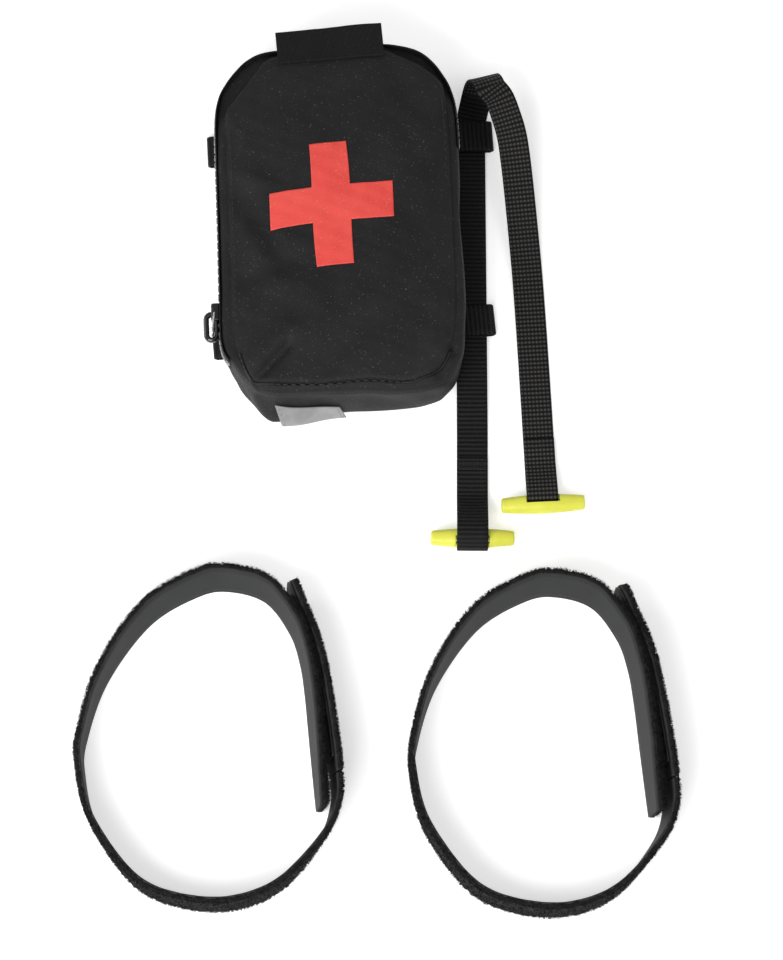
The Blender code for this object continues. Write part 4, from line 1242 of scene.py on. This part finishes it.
def barrel_rows(sizes, bar_side):
    """Rings of a barrel along X, with its bar's axis at the origin.

    The half width falls off with the square of the distance from the middle and ends in a
    quarter circle. The section is |cos|^p + |sin|^p = 1, a square with round corners.
    """
    middle, end, half = sizes.toggle_radius, sizes.toggle_end, sizes.toggle_length / 2
    u = np.linspace(-1, 1, 41)
    turn = np.linspace(0, math.pi / 2, 6)[1:]
    cap_x = half - TOGGLE_FILLET + TOGGLE_FILLET * np.sin(turn)
    cap_r = end - TOGGLE_FILLET + TOGGLE_FILLET * np.cos(turn)
    x = np.concatenate([-cap_x[::-1], u * (half - TOGGLE_FILLET), cap_x])
    radius = np.concatenate([cap_r[::-1], middle - (middle - end) * u**2, cap_r])
    t, power = np.linspace(0, 2 * math.pi, TOGGLE_SIDES, endpoint=False), TOGGLE_SQUARENESS
    square = (np.abs(np.cos(t)) ** power + np.abs(np.sin(t)) ** power) ** (-1 / power)
    square /= square.max() ** 0.55
    y, z = radius[:, None] * square * np.cos(t), radius[:, None] * square * np.sin(t)
    return np.stack([np.repeat(x[:, None], TOGGLE_SIDES, 1), y - bar_side * BAR_AT, z], axis=-1)


def toggles(sizes):
    """Barrels with a window cut from one side and a round bar across it."""
    half, reach = STRAP_WIDTH / 2 + 0.0006, TOGGLE_RADIUS * 2
    t = np.linspace(0, 2 * math.pi, TOGGLE_SIDES, endpoint=False)[::2]
    bar_ring = np.column_stack([TOGGLE_BAR * np.cos(t), TOGGLE_BAR * np.sin(t)])
    for (place, along), side, bar_side in zip(strap_ends(), ("left", "right"), (-1, 1)):
        body = solid_from("toggle_" + side + "_barrel", barrel_rows(sizes, bar_side))
        low, high = sorted((bar_side * (SLOT_FACE - BAR_AT), bar_side * reach))
        corners = [(-half, low), (half, low), (half, high), (-half, high)]
        cut_with(body, prism("window", corners, -reach, reach))
        bar = [[(x, y, z) for y, z in bar_ring] for x in (-half - 0.0012, half + 0.0012)]
        cut_with(body, solid_from("bar", bar), "UNION")
        axis = place + along * bar_side * BAR_AT
        yaw = math.atan2(along[1], along[0]) - math.pi / 2

        def to_place(co):
            x, y = turned_spot(co[:, 0], co[:, 1], *axis, yaw)
            return np.column_stack([x, y, BARREL_HEIGHT + co[:, 2]])

        moved(body, to_place)
        soften(body, 0.00025, 2, math.radians(40))
        settle(body, looks()["toggle"], "toggle_" + side, ("toggle_" + side,))


# ---------------------------------------------------------------- slider and puller
def stadium(length, width, count=64):
    """A ring of even points with straight sides and round ends, along +X and centred."""
    r = width / 2
    turn = np.radians(np.linspace(-90, 90, 14))
    end = np.column_stack([length / 2 - r + r * np.cos(turn), r * np.sin(turn)])
    ring = np.vstack([end, -end])
    return even(np.vstack([ring, ring[:1]]), count + 1)[:-1]


def rounded_block(name, low, high, fillet, segments):
    """A block with all its edges rounded."""
    (x0, y0, z0), (x1, y1, z1) = low, high
    piece = prism(name, [(x0, y0), (x1, y0), (x1, y1), (x0, y1)], z0, z1)
    soften(piece, fillet, segments)
    return piece


PLATE_HALF = 0.0039  # half the height of the slider's inner plate


def zip_slider():
    """Two plates over the coils, the crown on the outer one, a wire link and a grip ring."""
    middle = -POUCH_HALF_WIDTH + 0.0006
    outer = middle - 0.0022
    y0, y1 = SLIDER_AT - 0.0045, SLIDER_AT + 0.0045
    low, high = ZIP_HEIGHT - PLATE_HALF, ZIP_HEIGHT + PLATE_HALF
    body = rounded_block(
        "slider_body", (outer - 0.0034, y0, low + 0.0006), (outer + 0.0011, y1, high - 0.0006), 0.0010, 4
    )
    inner = rounded_block("inner", (middle + 0.0013, y0, low), (middle + 0.0022, y1, high), 0.0004, 3)
    post_low = (outer, y1 - 0.0028, ZIP_HEIGHT - 0.0009)
    post_high = (middle + 0.0018, y1 - 0.0006, ZIP_HEIGHT + 0.0009)
    for part in (inner, rounded_block("post", post_low, post_high, 0.0003, 2)):
        cut_with(body, part, "UNION")
    settle(moved(body, to_kit), looks()["slider"], "slider", ("zip_slider",))
    link = stadium(0.0120, 0.0050)
    x = outer - 0.0023 + 0.14 * link[:, 0]
    path = np.column_stack([x, SLIDER_AT - 0.0072 + link[:, 0], ZIP_HEIGHT + 0.0042 + link[:, 1]])
    wire = closed_tube("puller_wire", to_kit(path), 0.00055, 0.00055, 10, (1, 0.1, 0.1))
    settle(wire, looks()["wire"], "puller", ("puller_link",))
    ring = stadium(0.0128, 0.0050)
    z = ZIP_HEIGHT + 0.0002 + 0.0004 * np.sin(ring[:, 0] * 200)
    path = np.column_stack([outer - 0.0034 + ring[:, 1], SLIDER_AT - 0.0070 + ring[:, 0], z])
    grip = closed_tube("puller_ring", to_kit(path), 0.0018, 0.0014, 16, (0, 0, 1))
    settle(grip, looks()["grip"], "puller", ("puller_grip",))


# ---------------------------------------------------------------- bands
def leaning(points, share):
    """Where the bottom edge's points go at a share of the band's height."""
    weight = np.clip(0.5 + (points[..., 0] + points[..., 1]) / BAND_LEAN_SPREAD, 0, 1)
    weight = (weight**2 * (3 - 2 * weight))[..., None]
    return points + unit(points) * BAND_LEAN * weight * np.asarray(share)[..., None]


def band_run(steps):
    """A band's path, its outward directions, and where the inner strip ends and the tab starts."""
    points = smooth(BAND_RUN, steps)
    along = unit(np.gradient(points, axis=0))
    right = np.column_stack([along[:, 1], -along[:, 0]])
    return points, right, int(np.argmin(np.linalg.norm(points - TAB_START, axis=1)))


BAND_HEIGHT = math.sqrt(BAND_WIDTH**2 - BAND_LEAN**2)


def band_surface(points, right, shift, low, high, rows):
    """Points of a face of the band: along the run, and up from low to high, shifted sideways."""
    share = np.linspace(0, 1, rows)
    z = low[:, None] + (high - low)[:, None] * share[None]
    flat = np.repeat((points + right * shift)[:, None], rows, 1)
    return np.concatenate([leaning(flat, z / BAND_HEIGHT), z[..., None]], axis=-1)


def band_solid(name, points, right, inner, outer, low, high, rows=7):
    """A closed strip between two faces of the band, with a length map."""
    a = band_surface(points, right, inner, low, high, rows)
    b = band_surface(points, right, outer, low, high, rows)
    ring = np.concatenate([a, b[:, ::-1]], axis=1)
    run = np.repeat(run_length(points)[:, None], ring.shape[1], 1)
    uv = np.stack([run, ring[..., 2]], axis=-1).reshape(-1, 2)
    return outward(put_mesh(name, ring, loft_faces(*ring.shape[:2]), uv))


def loop_fibres(name, points, right, shift, low, high, count, longest=0.0016):
    """Short curled fibres standing out of a face of the band, as thin bent spikes.

    Each spike has a triangle for its foot, a narrower one halfway up and a point; its middle
    and tip lean by random amounts.
    """
    k = RANDOM.uniform(0.5, len(points) - 1.5, count)
    i = k.astype(int)
    part = (k - i)[:, None]
    share = np.clip(RANDOM.uniform(-0.10, 1.28, count), 0, 1)
    between = lambda values: values[i] * (1 - part) + values[i + 1] * part
    out = unit(between(right))
    bottom, top = between(low[:, None])[:, 0], between(high[:, None])[:, 0]
    z = bottom + (top - bottom) * share
    foot = np.column_stack([leaning(between(points) + out * shift, z / BAND_HEIGHT), z])
    edge = np.where(share > 0.96, 1.0, np.where(share < 0.04, -1.0, 0.0))
    normal = np.column_stack([out, edge * 0.45])
    along = np.column_stack([-out[:, 1], out[:, 0], np.zeros(count)])
    up = np.array([0, 0, 1.0])
    long = RANDOM.uniform(longest * 0.35, longest, count)[:, None]
    bend = RANDOM.normal(0, 0.55, (count, 2))
    knee = foot + long * (normal * 0.62 + (along * bend[:, :1] + up * bend[:, 1:]) * 0.45)
    bend = bend + RANDOM.normal(0, 0.7, (count, 2))
    rise = RANDOM.uniform(0.45, 1.0, (count, 1))
    tip = foot + long * (normal * rise + (along * bend[:, :1] + up * bend[:, 1:]) * 0.75)
    for spot in (foot, knee, tip):
        spot[:, 2] = np.maximum(spot[:, 2], 0.0002)
    angle = np.radians([0, 120, 240])[None, :, None]
    spread = np.cos(angle) * along[:, None] + np.sin(angle) * up
    spread = spread * RANDOM.uniform(0.00010, 0.00020, count)[:, None, None]
    root = (foot - normal * 0.0003)[:, None] + spread
    shape = np.concatenate([root, knee[:, None] + spread * 0.8, tip[:, None]], axis=1)
    start = (np.arange(count) * 7)[:, None, None]
    quads = np.array([[0, 1, 4, 3], [1, 2, 5, 4], [2, 0, 3, 5]])[None] + start
    tris = np.array([[3, 4, 6], [4, 5, 6], [5, 3, 6], [0, 2, 1]])[None] + start
    return put_mesh(name, shape, [quads.reshape(-1, 4), tris.reshape(-1, 3)])


def band_levels(points):
    """Heights of the band's lower and upper edge along its run, trimmed to its round tip."""
    to_end = run_length(points)[-1] - run_length(points)
    inside = np.clip(BAND_TIP_RADIUS - to_end, 0, BAND_TIP_RADIUS * 0.98)
    trim = BAND_TIP_RADIUS - np.sqrt(BAND_TIP_RADIUS**2 - inside**2)
    k = np.arange(len(points))
    wave = 0.00022 * np.sin(k * 0.21) + 0.00015 * np.sin(k * 0.53)
    return trim + 0.0001, BAND_HEIGHT - trim + wave


LAP = 112  # points of a band's run along its lap


def band_pieces(sizes, name, points, right, low, high, lapped):
    """The pieces of one part of a band: backing, pile and fibres, and the lap's longer fibres."""
    half, skin = BAND / 2, BAND / 2 - 0.0004
    backing = band_solid(name + "_backing", points, right, -half, -half + 0.0011, low, high)
    pile = band_solid(name + "_pile", points, right, -half + 0.00112, half - 0.0005, low, high, 15)
    count = sizes.fibres if lapped else sizes.fibres // 3
    fibres = loop_fibres(name + "_fibres", points, right, skin, low, high, count)
    pieces = [(backing, "backing"), (pile, "pile"), (fibres, "pile")]
    if lapped:  # the pile meets the tab's hooks here
        rows = (row[:LAP] for row in (low, high))
        lap_name = name.replace("_strip", "_lap_fibres")
        lap = loop_fibres(lap_name, points[:LAP], right[:LAP], skin, *rows, sizes.fibres // 2, 0.0036)
        pieces.append((lap, "pile"))
    return pieces


def bands(sizes):
    """Each band: a smooth backing inside, pile outside with loose fibres, a lapped tab with hooks."""
    points, right, split = band_run(620)
    low, high = band_levels(points)
    parts = {"strip": slice(0, split + 1), "tab": slice(split + 1, len(points))}
    hooks_run = slice(split + 9, split + LAP + 1)
    inward = -(BAND / 2 + GAP + 0.0004)
    for band, place in BAND_PLACES.items():
        move = np.array([*place, 0.0])
        for part, run in parts.items():
            node, strip = f"{band}_{part}", part == "strip"
            rows = (row[run] for row in (points, right, low, high))
            for piece, look in band_pieces(sizes, node, *rows, strip):
                moved(piece, lambda co: co + move)
                is_pile = piece.name == node + "_pile"
                if is_pile:
                    roughen(piece)
                body = band if strip else band + "_tab"
                settle(piece, looks()[look], body, (node,) if is_pile else ())
        faces = (points[hooks_run], right[hooks_run], inward - 0.0004, inward + 0.0004)
        edges = (low[hooks_run] + 0.0012, high[hooks_run] - 0.0012)
        hooks = band_solid(band + "_hook_tape", *faces, *edges)
        moved(hooks, lambda co: co + move)
        settle(hooks, looks()["hooks"], band + "_tab", (band + "_hooks",))


def roughen(piece):
    """A clumpy skin: the points of the pile's face move along their normals by a fine noise."""
    mesh = piece.data
    co, no = np.zeros(len(mesh.vertices) * 3), np.zeros(len(mesh.vertices) * 3)
    mesh.vertices.foreach_get("co", co)
    mesh.vertices.foreach_get("normal", no)
    co, no = co.reshape(-1, 3), no.reshape(-1, 3)
    push = RANDOM.uniform(-0.0002, 0.0008, len(co))
    co += no * push[:, None]
    co[:, 2] = np.maximum(co[:, 2], 0.0001)
    mesh.vertices.foreach_set("co", co.ravel())
    mesh.update()


# ---------------------------------------------------------------- stage
def floor_look():
    """A pale even floor that gives back a little light of its own."""
    look = Look("pale_floor", Emission_Strength=0.42)
    soft = look.noise(look.place(), 3, 2.0)
    tone = look.mix(soft, (0.88, 0.88, 0.88), (0.90, 0.90, 0.90))
    look.set(Base_Color=tone, Roughness=0.9, Emission_Color=(1.0, 1.0, 1.0))
    return look.material


def aimed(name, data, spot, toward):
    """Places a lamp or camera, looking along a direction."""
    holder = bpy.data.objects.new(name, data)
    bpy.context.scene.collection.objects.link(holder)
    holder.location = spot
    holder.rotation_euler = toward.to_track_quat("-Z", "Y").to_euler()
    return holder


def stage(view):
    """Pale floor, soft studio lights and the camera."""
    corners = [(-4, -4, 0), (4, -4, 0), (4, 4, 0), (-4, 4, 0)]
    floor = put_mesh("floor", corners, [np.array([[0, 1, 2, 3]])])
    floor.data.materials.append(floor_look())
    scene = bpy.context.scene
    scene.view_settings.view_transform = "Standard"
    scene.world = bpy.data.worlds.new("studio")
    scene.world.use_nodes = True
    background = scene.world.node_tree.nodes["Background"]
    background.inputs["Color"].default_value = (1, 1, 1, 1)
    background.inputs["Strength"].default_value = view.world
    for name, spot, aim, size, power in (
        ("key_light", (-0.45, -0.80, 0.80), (0, 0, 0), 0.8, view.key),
        ("right_light", (1.5, -0.5, 1.4), (0, 0.05, 0), 1.2, view.right),
        ("left_light", (-1.6, 0.4, 0.9), (0, 0.05, 0), 1.0, view.left),
    ):
        light = bpy.data.lights.new(name, "AREA")
        light.size, light.energy = size, power
        aimed(name, light, spot, Vector(aim) - Vector(spot))
    camera = bpy.data.cameras.new("camera")
    camera.lens, camera.sensor_width = view.lens, 36.0
    camera.clip_start, camera.clip_end = 0.01, 20
    target = Vector((view.target_x, view.target_y, 0))
    toward = Vector((0, math.cos(view.elevation), -math.sin(view.elevation)))
    scene.camera = aimed("camera", camera, target - toward * view.distance, toward)


# ---------------------------------------------------------------- settings, operators and panel
def length(name, words, value):
    """A size in metres."""
    return FloatProperty(name=name, description=words, default=value, unit="LENGTH", precision=5)


def angle(name, words, degrees):
    """A turn, shown in degrees."""
    return FloatProperty(name=name, description=words, default=math.radians(degrees), unit="ROTATION")


def power(name, words, watts):
    """A lamp's power."""
    return FloatProperty(name=name, description=words, default=watts, unit="POWER")


def colour(name, words, *value):
    """A colour in linear red, green and blue."""
    return FloatVectorProperty(
        name=name, description=words, default=value, subtype="COLOR", size=3, min=0, max=1, precision=4
    )


class KitColours(bpy.types.PropertyGroup):
    cloth: colour("Cloth", "The coated nylon", 0.0150, 0.0148, 0.0148)
    cloth_deep: colour("Cloth, deeper", "The nylon's darker patches", 0.0078, 0.0077, 0.0078)
    print: colour("Print", "The printed cross", 0.76, 0.080, 0.064)
    print_deep: colour("Print, deeper", "The print's darker patches", 0.66, 0.052, 0.043)
    toggle: colour("Toggles", "The moulded toggles", 0.69, 0.69, 0.085)
    toggle_deep: colour("Toggles, deeper", "The toggles' darker patches", 0.60, 0.60, 0.060)
    reflective: colour("Reflective tab", "The silver-grey tab", 0.27, 0.27, 0.273)
    reflective_deep: colour("Reflective tab, deeper", "The tab's worn patches", 0.20, 0.20, 0.203)
    backing: colour("Band backing", "The bands' smooth inner face", 0.029, 0.0295, 0.0295)
    backing_deep: colour("Band backing, deeper", "The backing's darker patches", 0.022, 0.0225, 0.0225)


class PouchSizes(bpy.types.PropertyGroup):
    cloth: length("Cloth", "Thickness of the coated nylon", 0.0009)
    coil_pitch: length("Coil pitch", "Distance between turns of one coil", 0.0023)
    cross_width: length("Cross width", "Width of the printed cross", 0.0600)
    cross_height: length("Cross height", "Height of the printed cross", 0.0640)
    cross_arm: length("Cross arm", "Width of the cross's arms", 0.0187)
    cross_x: length("Cross across", "Middle of the cross, across the pouch", -0.0034)
    cross_y: length("Cross along", "Middle of the cross, along the pouch", 0.0068)
    cross_yaw: angle("Cross turn", "Turn of the cross on the panel", 2.2)
    label_width: length("Label width", "Width of the folded label", 0.0524)
    label_height: length("Label height", "How far the label reaches from its seam", 0.0172)
    label_x: length("Label across", "Middle of the label, across the pouch", -0.0006)
    label_yaw: angle("Label turn", "Turn of the label", 3.0)
    tab_width: length("Tab width", "Width of the reflective tab", 0.0310)
    tab_depth: length("Tab depth", "How far the tab stands out at its free edge", 0.0012)
    tab_x: length("Tab across", "Middle of the tab, across the pouch", -0.0190)


class StrapSizes(bpy.types.PropertyGroup):
    strap_rib: length("Rib pitch", "Distance between the strap's cross ribs", 0.0022)
    toggle_length: length("Toggle length", "Length of a toggle", 0.0400)
    toggle_radius: length("Toggle middle", "Half width of a toggle at its middle", TOGGLE_RADIUS)
    toggle_end: length("Toggle end", "Half width of a toggle at its ends", 0.0036)


class BandSizes(bpy.types.PropertyGroup):
    fibres: IntProperty(name="Fibres", description="Loose fibres on each band's strip", default=12000, min=0)


class ViewSettings(bpy.types.PropertyGroup):
    elevation: angle("Elevation", "Angle of the camera above the floor", 72)
    distance: length("Distance", "Camera's distance from its target", 1.6)
    lens: FloatProperty(name="Lens", description="Focal length in millimetres", default=124.2)
    target_x: length("Target across", "Camera's target, across", 0.0069)
    target_y: length("Target along", "Camera's target, along", -0.0052)
    world: FloatProperty(name="World", description="Strength of the even light", default=0.42)
    key: power("Key light", "Power of the front light", 15)
    right: power("Right light", "Power of the light on the right", 9)
    left: power("Left light", "Power of the light on the left", 7)


class POUCH_OT_cloth(bpy.types.Operator):
    """Makes the pouch's cloth shells and the printed cross"""

    bl_idname = "pouch_kit.cloth"
    bl_label = "Cloth"

    def execute(self, context):
        sizes = context.scene.pouch_sizes
        front_cloth(sizes)
        back_cloth(sizes)
        cross_print(sizes)
        return {"FINISHED"}


class POUCH_OT_zip(bpy.types.Operator):
    """Makes the coils, tapes, stops and the slider with its puller"""

    bl_idname = "pouch_kit.zip"
    bl_label = "Zip"

    def execute(self, context):
        sizes = context.scene.pouch_sizes
        zip_coils(sizes)
        zip_tapes()
        zip_stops()
        zip_slider()
        return {"FINISHED"}


class POUCH_OT_sewing(bpy.types.Operator):
    """Makes the topstitching, the label and the reflective tab"""

    bl_idname = "pouch_kit.sewing"
    bl_label = "Sewing"

    def execute(self, context):
        sizes = context.scene.pouch_sizes
        topstitching()
        folded_label(sizes)
        reflective_tab(sizes)
        return {"FINISHED"}


class POUCH_OT_back_straps(bpy.types.Operator):
    """Makes the two straps across the pouch's back"""

    bl_idname = "pouch_kit.back_straps"
    bl_label = "Back straps"

    def execute(self, context):
        back_straps()
        return {"FINISHED"}


class POUCH_OT_toggle_strap(bpy.types.Operator):
    """Makes the toggle strap and the stitches of its ends"""

    bl_idname = "pouch_kit.toggle_strap"
    bl_label = "Toggle strap"

    def execute(self, context):
        toggle_strap(context.scene.strap_sizes)
        end_stitches()
        return {"FINISHED"}


class POUCH_OT_toggles(bpy.types.Operator):
    """Makes the two toggles"""

    bl_idname = "pouch_kit.toggles"
    bl_label = "Toggles"

    def execute(self, context):
        toggles(context.scene.strap_sizes)
        return {"FINISHED"}


class POUCH_OT_bands(bpy.types.Operator):
    """Makes the two hook-and-loop bands"""

    bl_idname = "pouch_kit.bands"
    bl_label = "Bands"

    def execute(self, context):
        bands(context.scene.band_sizes)
        return {"FINISHED"}


class POUCH_OT_stage(bpy.types.Operator):
    """Makes the floor, lights and camera"""

    bl_idname = "pouch_kit.stage"
    bl_label = "Stage"

    def execute(self, context):
        stage(context.scene.kit_view)
        return {"FINISHED"}


GROUPS = {
    "kit_colours": KitColours,
    "pouch_sizes": PouchSizes,
    "strap_sizes": StrapSizes,
    "band_sizes": BandSizes,
    "kit_view": ViewSettings,
}
STEPS = (
    POUCH_OT_cloth,
    POUCH_OT_zip,
    POUCH_OT_sewing,
    POUCH_OT_back_straps,
    POUCH_OT_toggle_strap,
    POUCH_OT_toggles,
    POUCH_OT_bands,
    POUCH_OT_stage,
)


class POUCH_PT_kit(bpy.types.Panel):
    """The settings of each group, then one button for each step"""

    bl_label = "Pouch kit"
    bl_idname = "POUCH_PT_kit"
    bl_space_type = "VIEW_3D"
    bl_region_type = "UI"
    bl_category = "Pouch kit"

    def draw(self, context):
        for name, group in GROUPS.items():
            box = self.layout.box()
            for key in group.__annotations__:
                box.prop(getattr(context.scene, name), key)
        for operator in STEPS:
            self.layout.operator(operator.bl_idname)


CLASSES = (*GROUPS.values(), *STEPS, POUCH_PT_kit)


def register():
    for kind in CLASSES:
        bpy.utils.register_class(kind)
    for name, group in GROUPS.items():
        setattr(bpy.types.Scene, name, PointerProperty(type=group))


def unregister():
    for name in GROUPS:
        delattr(bpy.types.Scene, name)
    for kind in reversed(CLASSES):
        bpy.utils.unregister_class(kind)


def main():
    register()
    bpy.ops.pouch_kit.cloth()
    bpy.ops.pouch_kit.zip()
    bpy.ops.pouch_kit.sewing()
    bpy.ops.pouch_kit.back_straps()
    bpy.ops.pouch_kit.toggle_strap()
    bpy.ops.pouch_kit.toggles()
    bpy.ops.pouch_kit.bands()
    bpy.ops.pouch_kit.stage()


if __name__ == "__main__":
    main()
